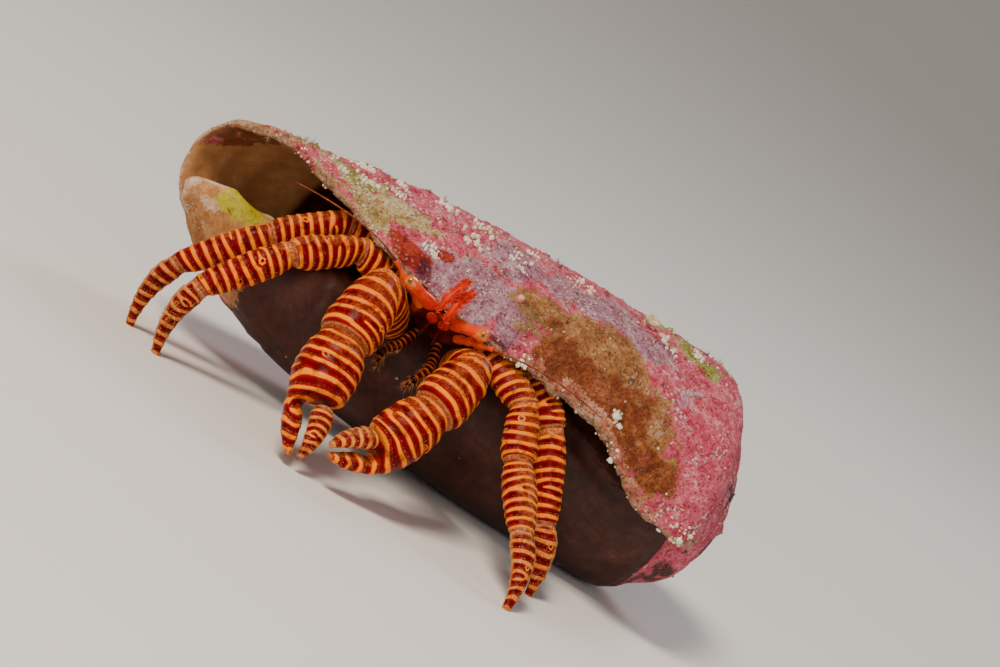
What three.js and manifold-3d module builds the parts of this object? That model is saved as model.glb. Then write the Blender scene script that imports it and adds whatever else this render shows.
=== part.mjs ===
// A striped hermit crab standing on its claws and walking legs, with its body in an overgrown cone shell.
// Millimetres, +Z up. The crab faces -Y, the shell's spire lies towards +X, and the floor is z = 0.
import * as THREE from "three";
import { mergeVertices } from "three/addons/utils/BufferGeometryUtils.js";
import Module from "manifold-3d";

const wasm = await Module();
wasm.setup();

const { PI, cos, sin, exp, hypot, min, max } = Math;
const v3 = (x, y, z) => new THREE.Vector3(x, y, z);
const lerp = THREE.MathUtils.lerp;
const rad = THREE.MathUtils.degToRad;

// ---- driving dimensions -------------------------------------------------------------------------
const JOINT_GAP = 0.24; // thin cut between two neighbouring pieces of a limb
const SEAM = 0.12; // thin cut between small pieces of the head

const SHELL = {
  canal: v3(-32.4, -6.2, 0), // where the axis meets the canal end
  yaw: rad(16), // the canal end is turned towards the front
  length: 59.5, // canal end to shoulder, along the axis
  spire: 6.5, // shoulder to apex
  shoulder: 16.8, // outer radius at the shoulder
  canalShare: 0.38, // radius at the canal end, as a share of the shoulder's
  swell: 13, // how quickly the sides swell out behind the canal
  axisHeight: 12.1,
  canalLift: 3.5, // the axis lifts by this at the canal end
  liftLength: 9,
  wall: 0.9,
  turnShrink: 0.35, // radius lost over one turn, as a share
  columellaShrink: 0.5, // further share lost at the canal end, where the columella is thin
  cavityTurns: 0.74, // how far the living space runs round behind the lip
};

// ---- closed solids from rings of points ---------------------------------------------------------
// Each ring is a closed loop of the same number of points. A ring of one point closes an end to a tip.
function ringSolid(rings) {
  const points = [];
  const faces = [];
  const starts = rings.map((ring) => {
    const start = points.length;
    points.push(...ring);
    return start;
  });
  const n = max(...rings.map((ring) => ring.length));
  for (let i = 0; i + 1 < rings.length; i++) {
    const [a, b] = [starts[i], starts[i + 1]];
    for (let j = 0; j < n; j++) {
      const k = (j + 1) % n;
      if (rings[i].length > 1) faces.push(a + j, a + k, rings[i + 1].length > 1 ? b + j : b);
      if (rings[i + 1].length > 1) faces.push(rings[i].length > 1 ? a + k : a, b + k, b + j);
    }
  }
  const cap = (ring, start, turned) => {
    if (ring.length === 1) return;
    const flat = ring.map((p) => p.clone());
    const middle = flat.reduce((sum, p) => sum.add(p), v3(0, 0, 0)).divideScalar(n);
    points.push(middle);
    for (let j = 0; j < n; j++) {
      const edge = [start + j, start + ((j + 1) % n)];
      if (turned) edge.reverse();
      faces.push(points.length - 1, edge[0], edge[1]);
    }
  };
  cap(rings[0], starts[0], true);
  cap(rings[rings.length - 1], starts[rings.length - 1], false);
  let volume = 0;
  for (let i = 0; i < faces.length; i += 3) {
    const [a, b, c] = [points[faces[i]], points[faces[i + 1]], points[faces[i + 2]]];
    volume += a.dot(b.clone().cross(c));
  }
  if (volume < 0) faces.reverse();
  const geometry = new THREE.BufferGeometry();
  const places = points.flatMap((p) => p.toArray());
  geometry.setAttribute("position", new THREE.Float32BufferAttribute(places, 3));
  geometry.setIndex(faces);
  return geometry;
}

function toSolid(geometry) {
  const bare = new THREE.BufferGeometry();
  bare.setAttribute("position", geometry.getAttribute("position"));
  bare.setIndex(geometry.index);
  const merged = mergeVertices(bare, 1e-4);
  return new wasm.Manifold(
    new wasm.Mesh({
      numProp: 3,
      vertProperties: new Float32Array(merged.attributes.position.array),
      triVerts: new Uint32Array(merged.index.array),
    }),
  );
}

function toGeometry(solid) {
  const mesh = solid.getMesh();
  const geometry = new THREE.BufferGeometry();
  geometry.setAttribute("position", new THREE.BufferAttribute(mesh.vertProperties, 3));
  geometry.setIndex(new THREE.BufferAttribute(mesh.triVerts, 1));
  return geometry;
}

// ---- the shell: one spiral wall, round an axis that lifts a little at the canal -----------------
const alongAxis = v3(cos(SHELL.yaw), sin(SHELL.yaw), 0);
const backwards = v3(-sin(SHELL.yaw), cos(SHELL.yaw), 0);

function axisPoint(s) {
  const lift = SHELL.canalLift * exp(-max(s, 0) / SHELL.liftLength);
  return SHELL.canal.clone().addScaledVector(alongAxis, s).setZ(SHELL.axisHeight + lift);
}

// The outer radius at the lip, at the length s from the canal end.
function lipRadius(s) {
  const swollen = 1 - (1 - SHELL.canalShare) * exp(-max(s, -2) / SHELL.swell);
  const rounding = 4.2; // the shoulder's rounded edge
  const over = max(0, s - (SHELL.length - rounding)) / rounding;
  return SHELL.shoulder * swollen - rounding * (1 - Math.sqrt(max(0, 1 - over * over)));
}

// The share of that radius left after some turns back from the lip.
function spiralShare(turns, s) {
  const behind = max(0, 1 - max(s, 0) / SHELL.length);
  const fold = min(max(turns, 0), 1.06) ** 4;
  return 1 - SHELL.turnShrink * turns - SHELL.columellaShrink * behind ** 1.5 * fold;
}

// The lip's place round the axis, from straight back over the top: it starts high at the canal and reaches
// further forward and down towards the shoulder, where it drops to its corner.
function lipAngle(s) {
  const forward = 161 - 74 * exp(-max(s, 0) / 9.5);
  const drop = 22 / (1 + exp(-(s - 46.8) / 1.9));
  return rad(forward + drop);
}

// A point of the shell at a length, some turns back from the lip and a radius from the axis.
function shellPoint(s, turns, radius) {
  const angle = lipAngle(s) - 2 * PI * turns;
  const slant = 0.58 * exp(-max(s, 0) / 9); // the canal end faces the front
  const back = radius * cos(angle);
  return axisPoint(s)
    .addScaledVector(alongAxis, -slant * back)
    .addScaledVector(backwards, back)
    .add(v3(0, 0, radius * sin(angle)));
}

function outerBody() {
  const steps = 34;
  const rings = [];
  const ringAt = (s, radiusAt) => {
    const ring = [];
    for (let i = 0; i <= steps; i++) ring.push(shellPoint(s, i / steps, radiusAt(i / steps)));
    return ring;
  };
  const stations = [0, 2, 4.5, 8, 12, 17, 23, 30, 37, 43, 47, 50, 53, 55.4, 57.2, 58.5, 59.2];
  for (const s of stations) rings.push(ringAt(s, (turns) => lipRadius(s) * spiralShare(turns, s)));
  // The spire: one spiral ridge, climbing a low cone, with a valley at each suture.
  const shoulder = lipRadius(SHELL.length) * 0.98;
  const height = (radius) => SHELL.spire * (1 - radius / shoulder) ** 0.9;
  const spireRing = (whorl, shrink, rise) => {
    const ring = [];
    for (let i = 0; i <= steps; i++) {
      const ridge = shoulder * (1 - SHELL.turnShrink * (i / steps)) * (1 - SHELL.turnShrink) ** whorl;
      const next = ridge * shrink;
      ring.push(shellPoint(SHELL.length + height(min(next, shoulder)) + rise, i / steps, next));
    }
    return ring;
  };
  for (let whorl = 0; whorl < 4; whorl++) {
    const ease = 1 - whorl / 5;
    rings.push(spireRing(whorl, 0.98, whorl === 0 ? 0.1 : 0.75 * ease));
    rings.push(spireRing(whorl, 0.84, 0.55 * ease));
    rings.push(spireRing(whorl, 0.69, 0));
  }
  rings.push([axisPoint(SHELL.length + SHELL.spire + 0.6)]);
  return ringSolid(rings);
}

// The living space: between the wall and the turn before it, open at the lip and at the canal.
function livingSpace() {
  const steps = 20;
  const mouth = 0.05; // it starts this many turns in front of the lip
  const edge = 0.003; // and cuts the lip square, over this much of a turn
  const rings = [];
  const stations = [-3, 0, 2, 4.5, 8, 12, 17, 23, 30, 37, 43, 47, 50, 53, 55.3, 56.9];
  for (const s of stations) {
    const ring = [];
    const end = SHELL.cavityTurns + 0.2 * exp(-max(s, 0) / 8);
    const pinch = s > 56 ? 0.55 : 0;
    const outer = (turns) => {
      const wall = SHELL.wall * (turns < 0 ? -6 : 1) + pinch;
      return lipRadius(min(s, 55.3)) * spiralShare(turns, s) - wall;
    };
    const inner = (turns) => {
      const clear = turns < 0 ? 0.25 : 0;
      return max(0.36, lipRadius(s) * spiralShare(turns + 1, s) + clear + pinch);
    };
    const places = [-mouth, -edge];
    for (let i = 0; i <= steps; i++) places.push(lerp(edge, end, i / steps));
    for (const turns of places) ring.push(shellPoint(s, turns, max(outer(turns), inner(turns) + 0.4)));
    for (const turns of places.reverse()) {
      const closing = 0.25 * max(0, turns / end - 0.85) * (outer(turns) - inner(turns));
      ring.push(shellPoint(s, turns, inner(turns) + closing));
    }
    rings.push(ring);
  }
  return ringSolid(rings);
}

// What lies under the floor is cut off, which leaves a small flat to stand on.
const underFloor = new THREE.BoxGeometry(200, 200, 20).translate(0, 0, -10);
underFloor.deleteAttribute("normal");
underFloor.deleteAttribute("uv");
const onFloor = (geometry) => toGeometry(toSolid(geometry).subtract(toSolid(underFloor)));

function coneShell() {
  const hollow = toSolid(outerBody()).subtract(toSolid(livingSpace()));
  return onFloor(toGeometry(hollow));
}

// ---- limbs: mitred tubes from joint to joint ----------------------------------------------------
// A station is [share of the length, half-height, half-width, sideways shift].
function tubePiece(from, to, cutFrom, cutTo, side, stations, sides = 10, gap = JOINT_GAP) {
  const axis = to.clone().sub(from);
  const length = axis.length();
  axis.normalize();
  const across = side.clone().addScaledVector(axis, -side.dot(axis)).normalize();
  const upward = across.clone().cross(axis).normalize();
  const rings = stations.map(([share, high, wide, shift = 0]) => {
    const ring = [];
    for (let j = 0; j < sides; j++) {
      const turn = (2 * PI * (j + 0.5)) / sides;
      const q = upward
        .clone()
        .multiplyScalar(high * sin(turn))
        .addScaledVector(across, wide * cos(turn) + shift);
      const nearFrom = max(0, 1 - share / 0.3);
      const nearTo = max(0, 1 - (1 - share) / 0.3);
      const slide =
        nearFrom * (gap / 2 - q.dot(cutFrom)) / axis.dot(cutFrom) -
        nearTo * (gap / 2 + q.dot(cutTo)) / axis.dot(cutTo);
      ring.push(from.clone().addScaledVector(axis, share * length + slide).add(q));
    }
    return ring;
  });
  return ringSolid(rings);
}

// Cuts at each joint halve the bend between the two pieces that meet there.
function mitres(places, tipCut) {
  const axes = places.slice(1).map((p, i) => p.clone().sub(places[i]).normalize());
  const cuts = [axes[0].clone()];
  for (let i = 1; i < axes.length; i++) cuts.push(axes[i - 1].clone().add(axes[i]).normalize());
  cuts.push(tipCut ?? axes[axes.length - 1].clone());
  return cuts;
}

const part = new THREE.Group();

// Red and yellow in rings, seen from afar as one warm red.
const FINISH = {
  banded: { color: 0xb8281a, roughness: 0.45, metalness: 0 },
  stalk: { color: 0xe8420f, roughness: 0.35, metalness: 0 },
  eye: { color: 0xd98a18, roughness: 0.15, metalness: 0 },
  shield: { color: 0xc9301c, roughness: 0.45, metalness: 0 },
  soft: { color: 0xc98a72, roughness: 0.5, metalness: 0 },
  feeler: { color: 0xe05a18, roughness: 0.5, metalness: 0 },
  shell: { color: 0xb8617c, roughness: 0.8, metalness: 0 },
};

function addPiece(name, geometry, finish) {
  const flat = geometry.index ? geometry.toNonIndexed() : geometry;
  flat.computeVertexNormals();
  const mesh = new THREE.Mesh(flat, new THREE.MeshStandardMaterial(FINISH[finish]));
  mesh.name = name;
  part.add(mesh);
}

// ---- walking legs -------------------------------------------------------------------------------
const DOWN = v3(0, 0, -1);

// Shapes of the long pieces, as shares of the limb's own half-thickness.
const LEG_SHAPES = {
  merus: [
    [0, 0.72, 0.6],
    [0.16, 1.0, 0.8],
    [0.5, 1.12, 0.86],
    [0.84, 1.1, 0.84],
    [1, 0.86, 0.74],
  ],
  carpus: [
    [0, 0.86, 0.74],
    [0.16, 1.02, 0.82],
    [0.5, 1.12, 0.88],
    [0.84, 1.12, 0.88],
    [1, 0.88, 0.76],
  ],
  propodus: [
    [0, 0.88, 0.76],
    [0.14, 1.04, 0.86],
    [0.38, 1.1, 0.88],
    [0.66, 1.02, 0.82],
    [0.88, 0.9, 0.74],
    [1, 0.74, 0.62],
  ],
  dactyl: [
    [0, 0.74, 0.62],
    [0.16, 0.82, 0.64],
    [0.4, 0.7, 0.54],
    [0.64, 0.54, 0.42],
    [0.84, 0.4, 0.32],
    [1, 0.3, 0.26],
  ],
};

function walkingLeg(name, half, places) {
  const cuts = mitres(places, DOWN);
  const side = places[1].clone().sub(places[0]).cross(places[3].clone().sub(places[1])).normalize();
  Object.keys(LEG_SHAPES).forEach((piece, i) => {
    const stations = LEG_SHAPES[piece].map(([share, high, wide]) => [share, high * half, wide * half]);
    let [from, to] = [places[i], places[i + 1]];
    let geometry;
    if (piece === "dactyl") {
      geometry = clawedTip(from, to, cuts[i], side, stations);
    } else {
      geometry = tubePiece(from, to, cuts[i], cuts[i + 1], side, stations);
    }
    addPiece(`${name}_${piece}`, geometry, "banded");
  });
}

// The last piece of a leg bows outwards and stands on a small flat.
function clawedTip(from, to, cutFrom, side, stations) {
  const bow = 0.09 * from.distanceTo(to);
  const axis = to.clone().sub(from).normalize();
  const across = side.clone().addScaledVector(axis, -side.dot(axis)).normalize();
  const upward = across.clone().cross(axis).normalize();
  const outward = upward.z >= 0 ? upward : upward.clone().negate();
  const sides = 10;
  const rings = stations.map(([share, high, wide]) => {
    const centre = from.clone().lerp(to, share).addScaledVector(outward, bow * 4 * share * (1 - share));
    const ring = [];
    for (let j = 0; j < sides; j++) {
      const turn = (2 * PI * (j + 0.5)) / sides;
      const q = upward.clone().multiplyScalar(high * sin(turn)).addScaledVector(across, wide * cos(turn));
      const near = max(0, 1 - share / 0.3);
      const slide = (near * (JOINT_GAP / 2 - q.dot(cutFrom))) / axis.dot(cutFrom);
      ring.push(centre.clone().addScaledVector(axis, slide).add(q));
    }
    return ring;
  });
  // The end ring is laid flat on the floor.
  rings[rings.length - 1].forEach((p) => p.setZ(0));
  return ringSolid(rings);
}

const LEGS = {
  right_front_leg: {
    half: 1.5,
    places: [
      v3(-10.2, -8.9, 17.5),
      v3(-16.0, -11.3, 18.9),
      v3(-21.3, -15.2, 15.4),
      v3(-26.8, -18.2, 8.0),
      v3(-26.9, -18.0, 0),
    ],
  },
  right_rear_leg: {
    half: 1.45,
    places: [
      v3(-10.2, -5.2, 18.9),
      v3(-18.6, -7.8, 20.1),
      v3(-24.2, -11.8, 15.2),
      v3(-30.2, -14.0, 8.0),
      v3(-31.0, -13.2, 0),
    ],
  },
  left_front_leg: {
    half: 1.6,
    places: [
      v3(-1.0, -8.4, 17.6),
      v3(6.0, -11.5, 15.2),
      v3(8.6, -14.8, 10.6),
      v3(12.6, -21.2, 6.1),
      v3(15.2, -25.6, 0),
    ],
  },
  left_rear_leg: {
    half: 1.5,
    places: [
      v3(-0.7, -4.9, 19.0),
      v3(4.9, -6.9, 18.0),
      v3(9.6, -9.4, 14.4),
      v3(14.3, -12.4, 6.6),
      v3(16.8, -13.8, 0),
    ],
  },
};

// ---- claws --------------------------------------------------------------------------------------
const CLAW_SHAPES = {
  merus: [
    [0, 0.5, 0.54],
    [0.2, 0.7, 0.7],
    [0.6, 0.82, 0.8],
    [0.86, 0.84, 0.82],
    [1, 0.72, 0.7],
  ],
  carpus: [
    [0, 0.74, 0.72],
    [0.18, 0.94, 0.92],
    [0.5, 1.04, 1.02],
    [0.82, 1.06, 1.04],
    [1, 0.86, 0.86],
  ],
};

// The palm runs on into the fixed finger, and the movable finger closes against it.
function claw(name, half, places, inward) {
  const [hip, elbow, wrist, knuckle, tip] = places;
  const cuts = mitres([hip, elbow, wrist, knuckle, tip]);
  const side = inward.clone().normalize();
  ["merus", "carpus"].forEach((piece, i) => {
    const stations = CLAW_SHAPES[piece].map(([share, high, wide]) => [share, high * half, wide * half]);
    const tube = tubePiece(places[i], places[i + 1], cuts[i], cuts[i + 1], side, stations, 12);
    addPiece(`${name}_${piece}`, tube, "banded");
  });

  const palmLength = wrist.distanceTo(knuckle);
  const handAxis = knuckle.clone().sub(wrist).normalize();
  const fingerAxis = tip.clone().sub(knuckle);
  const fingerLength = fingerAxis.length();
  fingerAxis.normalize();
  const frame = (axis) => {
    const across = side.clone().addScaledVector(axis, -side.dot(axis)).normalize();
    return [across, across.clone().cross(axis).normalize()];
  };
  const ringAt = (centre, axis, high, wide, shift, cut = null) => {
    const [across, upward] = frame(axis);
    const ring = [];
    const sides = 12;
    for (let j = 0; j < sides; j++) {
      const turn = (2 * PI * (j + 0.5)) / sides;
      const q = upward.clone().multiplyScalar(high * sin(turn)).addScaledVector(across, wide * cos(turn));
      const slide = cut ? (JOINT_GAP / 2 - q.dot(cut)) / axis.dot(cut) : 0;
      ring.push(centre.clone().addScaledVector(across, shift).addScaledVector(axis, slide).add(q));
    }
    return ring;
  };
  const onPalm = (share) => wrist.clone().addScaledVector(handAxis, share * palmLength);
  const onFinger = (share) => knuckle.clone().addScaledVector(fingerAxis, share * fingerLength);
  const turning = handAxis.clone().add(fingerAxis).normalize();

  const fixed = -0.46 * half; // the fixed finger stands on the outer side
  const palm = [
    ringAt(onPalm(0), handAxis, 0.82 * half, 0.82 * half, 0, cuts[2]),
    ringAt(onPalm(0.22), handAxis, 1.0 * half, 1.02 * half, 0),
    ringAt(onPalm(0.5), handAxis, 1.06 * half, 1.12 * half, 0),
    ringAt(onPalm(0.8), handAxis, 1.0 * half, 1.08 * half, 0),
    ringAt(onPalm(0.98), turning, 0.84 * half, 0.92 * half, 0),
    ringAt(onFinger(0.06), fingerAxis, 0.62 * half, 0.42 * half, fixed),
    ringAt(onFinger(0.45), fingerAxis, 0.5 * half, 0.36 * half, fixed * 0.98),
    ringAt(onFinger(0.8), fingerAxis, 0.34 * half, 0.25 * half, fixed * 0.74),
    ringAt(onFinger(0.98), fingerAxis, 0.16 * half, 0.13 * half, fixed * 0.5),
  ];
  addPiece(`${name}_palm`, ringSolid(palm), "banded");

  const moving = 0.5 * half;
  const finger = [
    ringAt(onFinger(0.15), fingerAxis, 0.46 * half, 0.3 * half, moving),
    ringAt(onFinger(0.24), fingerAxis, 0.56 * half, 0.38 * half, moving),
    ringAt(onFinger(0.5), fingerAxis, 0.48 * half, 0.36 * half, moving * 0.98),
    ringAt(onFinger(0.82), fingerAxis, 0.33 * half, 0.25 * half, moving * 0.76),
    ringAt(onFinger(1.0), fingerAxis, 0.16 * half, 0.13 * half, moving * 0.46),
  ];
  addPiece(`${name}_finger`, ringSolid(finger), "banded");
}

const CLAWS = {
  right_claw: {
    half: 2.85,
    inward: v3(1, -0.2, 0.1),
    places: [
      v3(-9.4, -10.4, 14.2),
      v3(-11.9, -16.4, 17.2),
      v3(-12.1, -21.2, 12.0),
      v3(-11.4, -25.2, 6.6),
      v3(-9.8, -27.6, 1.4),
    ],
  },
  left_claw: {
    half: 2.6,
    inward: v3(-0.3, -0.1, 0.95),
    places: [
      v3(-2.0, -10.2, 14.2),
      v3(-0.2, -16.2, 15.7),
      v3(-1.1, -20.8, 11.1),
      v3(-3.4, -24.2, 5.6),
      v3(-7.2, -27.2, 3.6),
    ],
  },
};

// ---- head and body ------------------------------------------------------------------------------
// Lofts through stations of centre, half-width and half-thickness, square to the path.
function bodyLoft(stations, across, sides = 14) {
  const rings = stations.map(({ at, wide, thick, axis }) => {
    const sideways = across.clone().addScaledVector(axis, -across.dot(axis)).normalize();
    const upward = sideways.clone().cross(axis).normalize();
    const ring = [];
    for (let j = 0; j < sides; j++) {
      const turn = (2 * PI * j) / sides;
      const level = at.clone().addScaledVector(sideways, wide * cos(turn));
      ring.push(level.addScaledVector(upward, thick * sin(turn)));
    }
    return ring;
  });
  return ringSolid(rings);
}

const HEAD = {
  front: v3(-5.7, -13.0, 16.5), // middle of the shield's front edge
  back: v3(-5.4, -5.6, 19.3),
  width: 8.4,
  thickness: 3.4,
};

function trunk() {
  const axis = HEAD.back.clone().sub(HEAD.front).normalize();
  const station = (share, wide, thick) => ({
    at: HEAD.front.clone().lerp(HEAD.back, share),
    wide: (wide * HEAD.width) / 2,
    thick: (thick * HEAD.thickness) / 2,
    axis,
  });
  addPiece(
    "shield",
    bodyLoft(
      [
        station(0, 0.5, 0.42),
        station(0.08, 0.66, 0.62),
        station(0.3, 0.84, 0.88),
        station(0.65, 1, 1),
        station(0.985, 0.98, 1),
      ],
      v3(1, 0, 0),
    ),
    "shield",
  );
  const hindEnd = v3(-4.6, -0.4, 20.9);
  const hindAxis = hindEnd.clone().sub(HEAD.back).normalize();
  const hind = (share, wide, thick, cut) => ({
    at: HEAD.back.clone().lerp(hindEnd, share),
    wide: (wide * HEAD.width) / 2,
    thick: (thick * HEAD.thickness) / 2,
    axis: cut ?? hindAxis,
  });
  addPiece(
    "hind_carapace",
    bodyLoft(
      [
        hind(0.05, 0.96, 0.98, axis),
        hind(0.3, 1, 1.04),
        hind(0.7, 0.94, 1.02),
        hind(0.97, 0.84, 0.96),
      ],
      v3(1, 0, 0),
    ),
    "soft",
  );
}

// The soft abdomen follows the middle of the living space round to its end.
function insideShell(s, turns) {
  const outer = lipRadius(s) * spiralShare(turns, s) - SHELL.wall;
  const inner = lipRadius(s) * spiralShare(turns + 1, s);
  return { at: shellPoint(s, turns, (outer + inner) / 2), room: (outer - inner) / 2 };
}

function abdomen() {
  const startTurns = 0.19;
  const endTurns = 0.6;
  const steps = 9;
  const path = [];
  for (let i = 0; i <= steps; i++) {
    const share = i / steps;
    path.push(insideShell(lerp(33.5, 42, share), lerp(startTurns, endTurns, share)));
  }
  const tangent = (i) => path[min(i + 1, steps)].at.clone().sub(path[max(i - 1, 0)].at).normalize();
  const stations = path.map(({ at, room }, i) => {
    const share = i / steps;
    const taper = 1 - 0.42 * share ** 1.6;
    const wide = 3.5 * taper * (i === 0 ? 0.9 : 1);
    return { at, wide, thick: min(1.95 * taper, room - 0.45), axis: tangent(i) };
  });
  const fanStart = steps - 1;
  addPiece("abdomen", bodyLoft(stations.slice(0, fanStart + 1), alongAxis, 12), "soft");
  const end = stations[fanStart];
  const away = tangent(steps);
  const fanRings = [
    [0.35, 1.2, 0.8],
    [1.1, 1.9, 0.8],
    [2.2, 2.0, 0.55],
    [2.9, 1.3, 0.35],
  ];
  const fan = fanRings.map(([off, wide, thick]) => ({
    at: end.at.clone().addScaledVector(away, off),
    wide,
    thick,
    axis: away,
  }));
  addPiece("tail_fan", bodyLoft(fan, alongAxis, 10), "shield");
}

// A slender limb or feeler: round rings along a smooth curve.
function feeler(points, radii, sides = 8, steps = 10) {
  const curve = new THREE.CatmullRomCurve3(points, false, "centripetal");
  const frames = curve.computeFrenetFrames(steps, false);
  const rings = [];
  for (let i = 0; i <= steps; i++) {
    const share = i / steps;
    const at = curve.getPointAt(share);
    const place = share * (radii.length - 1);
    const k = min(Math.floor(place), radii.length - 2);
    const radius = lerp(radii[k], radii[k + 1], place - k);
    const ring = [];
    for (let j = 0; j < sides; j++) {
      const turn = (2 * PI * j) / sides;
      ring.push(
        at
          .clone()
          .addScaledVector(frames.normals[i], radius * cos(turn))
          .addScaledVector(frames.binormals[i], radius * sin(turn)),
      );
    }
    rings.push(ring);
  }
  return ringSolid(rings);
}

// One side of the head: side is -1 on the crab's right and 1 on its left.
const EYES = {
  right: { side: -1, foot: v3(-6.7, -13.9, 18.6), tip: v3(-10.9, -17.2, 20.1) },
  left: { side: 1, foot: v3(-4.9, -13.9, 18.3), tip: v3(-0.4, -17.2, 19.7) },
};

function eye(name, { foot, tip }) {
  const axis = tip.clone().sub(foot).normalize();
  const length = foot.distanceTo(tip);
  const corneaStart = 0.72;
  const station = (share, radius) => {
    const at = foot.clone().addScaledVector(axis, share * length);
    return { at, wide: radius, thick: radius, axis };
  };
  const stalk = [
    [0, 0.52],
    [0.05, 0.68],
    [0.25, 0.72],
    [0.5, 0.66],
    [corneaStart - SEAM / 2 / length, 0.72],
  ];
  addPiece(`${name}_eyestalk`, bodyLoft(stalk.map((pair) => station(...pair)), v3(0, 0, 1), 12), "stalk");
  const cornea = [
    [corneaStart + SEAM / 2 / length, 0.73],
    [0.82, 0.75],
    [0.92, 0.66],
    [0.98, 0.44],
    [1, 0.2],
  ];
  addPiece(`${name}_eye`, bodyLoft(cornea.map((pair) => station(...pair)), v3(0, 0, 1), 12), "eye");
}

// A small pointed plate stands in front of each eyestalk's foot.
function acicle(name, { side }) {
  const foot = v3(HEAD.front.x + side * 0.75, -14.1, 17.15);
  const point = v3(HEAD.front.x + side * 0.95, -15.7, 17.75);
  const axis = point.clone().sub(foot).normalize();
  const station = (share, wide, thick) => ({ at: foot.clone().lerp(point, share), wide, thick, axis });
  addPiece(
    `${name}_eye_scale`,
    bodyLoft(
      [
        station(0, 0.42, 0.3),
        station(0.3, 0.58, 0.34),
        station(0.7, 0.46, 0.3),
        station(1, 0.26, 0.25),
      ],
      v3(1, 0, 0),
      8,
    ),
    "shield",
  );
}

function antenna(name, { side }) {
  const peduncle =
    side < 0
      ? [v3(-8.0, -13.7, 18.0), v3(-9.3, -14.2, 18.8), v3(-10.8, -14.9, 19.6), v3(-12.4, -15.6, 20.6)]
      : [v3(-3.3, -13.5, 17.2), v3(-2.6, -14.2, 17.6), v3(-1.3, -15.0, 18.1), v3(0.3, -15.8, 18.7)];
  addPiece(`${name}_antenna`, feeler(peduncle, [0.62, 0.62, 0.55, 0.48, 0.4, 0.32], 8, 8), "feeler");
  const start = peduncle[3];
  const out = start.clone().sub(peduncle[2]).normalize();
  const whip = [
    start.clone().addScaledVector(out, SEAM),
    start.clone().add(v3(side * 2.0, -0.6, side < 0 ? 0.8 : 0.5)),
    start.clone().add(v3(side * 5.2, -0.7, side < 0 ? 1.3 : 0.9)),
    start.clone().add(v3(side * 9.0, -0.6, side < 0 ? 1.3 : 0.9)),
    start.clone().add(v3(side * 12.6, 0.2, side < 0 ? 0.9 : 0.4)),
  ];
  addPiece(`${name}_feeler`, feeler(whip, [0.3, 0.28, 0.26, 0.25], 6, 12), "feeler");
}

// The short feelers fold forwards, then stand up between the eyes and end in a brush.
function antennule(name, { side }) {
  const x = HEAD.front.x;
  const points = [
    v3(x + side * 0.75, -14.2, 15.6),
    v3(x + side * 0.8, -16.0, 16.0),
    v3(x + side * 0.65, -17.2, 17.3),
    v3(x + side * 0.6, -17.4, 19.0),
    v3(x + 0.15 + side * 0.55, -17.0, 20.7),
    v3(x + 0.65 + side * 0.5, -16.3, side < 0 ? 22.6 : 22.0),
  ];
  const radii = [0.42, 0.38, 0.34, 0.3, 0.34, 0.42, 0.26];
  addPiece(`${name}_antennule`, feeler(points, radii, 7, 12), "feeler");
}

function maxilliped(name, { side }) {
  const x = HEAD.front.x;
  const points = [
    v3(x + side * 1.3, -12.6, 15.3),
    v3(x + side * 1.8, -14.6, 13.9),
    side < 0 ? v3(x - 2.6, -16.2, 13.0) : v3(x + 1.8, -16.2, 13.1),
    side < 0 ? v3(x - 2.9, -17.4, 12.4) : v3(x + 1.3, -17.3, 12.2),
    side < 0 ? v3(x - 2.5, -18.3, 11.3) : v3(x + 0.8, -17.8, 10.9),
  ];
  addPiece(`${name}_mouth_leg`, feeler(points, [0.75, 0.72, 0.66, 0.6, 0.5, 0.34], 8, 10), "feeler");
}

// Two pairs of short legs hold the shell from inside.
function shortLeg(name, side, hip, reach) {
  const points = [
    hip,
    hip.clone().add(v3(side * 2.2, 0.3, 0.5)),
    hip.clone().add(v3(side * 3.8, reach * 0.6, -0.1)),
    hip.clone().add(v3(side * 3.9, reach * 1.4, -0.9)),
  ];
  addPiece(name, feeler(points, [0.5, 0.6, 0.6, 0.5, 0.34], 7, 8), "soft");
}

addPiece("shell", coneShell(), "shell");
trunk();
abdomen();
for (const [name, pose] of Object.entries(EYES)) {
  eye(name, pose);
  acicle(name, pose);
  antenna(name, pose);
  antennule(name, pose);
  maxilliped(name, pose);
}
for (const [name, { half, places }] of Object.entries(LEGS)) walkingLeg(name, half, places);
for (const [name, { half, places, inward }] of Object.entries(CLAWS)) claw(name, half, places, inward);
for (const side of [-1, 1]) {
  const word = side < 0 ? "right" : "left";
  shortLeg(`${word}_fourth_leg`, side, v3(-5.1 + side * 4.7, -2.4, 20.3), 1.6);
  shortLeg(`${word}_fifth_leg`, side, v3(-4.6 + side * 4.2, -0.2, 21.3), 1.9);
}

// The origin is on the floor under the middle of the whole.
const box = new THREE.Box3().setFromObject(part);
const middle = box.getCenter(v3(0, 0, 0));
part.position.set(-middle.x, -middle.y, 0);
part.updateMatrixWorld(true);

export default part;
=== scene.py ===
# %% [markdown]
# # A striped hermit crab in a cone shell
# This lesson dresses a life-size model of a hermit crab. The plain solids come from the model's drawing and hold the
# true sizes. Here each of them gets the surface of the real thing: ringed and bristly legs, wet eyes on orange
# stalks, and a sea shell under a pink crust. All lengths are real ones, so a millimetre here is a millimetre on it.

# %% Load the fixed frame
import math

import bpy
import numpy as np
from mathutils import Matrix, Vector


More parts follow.
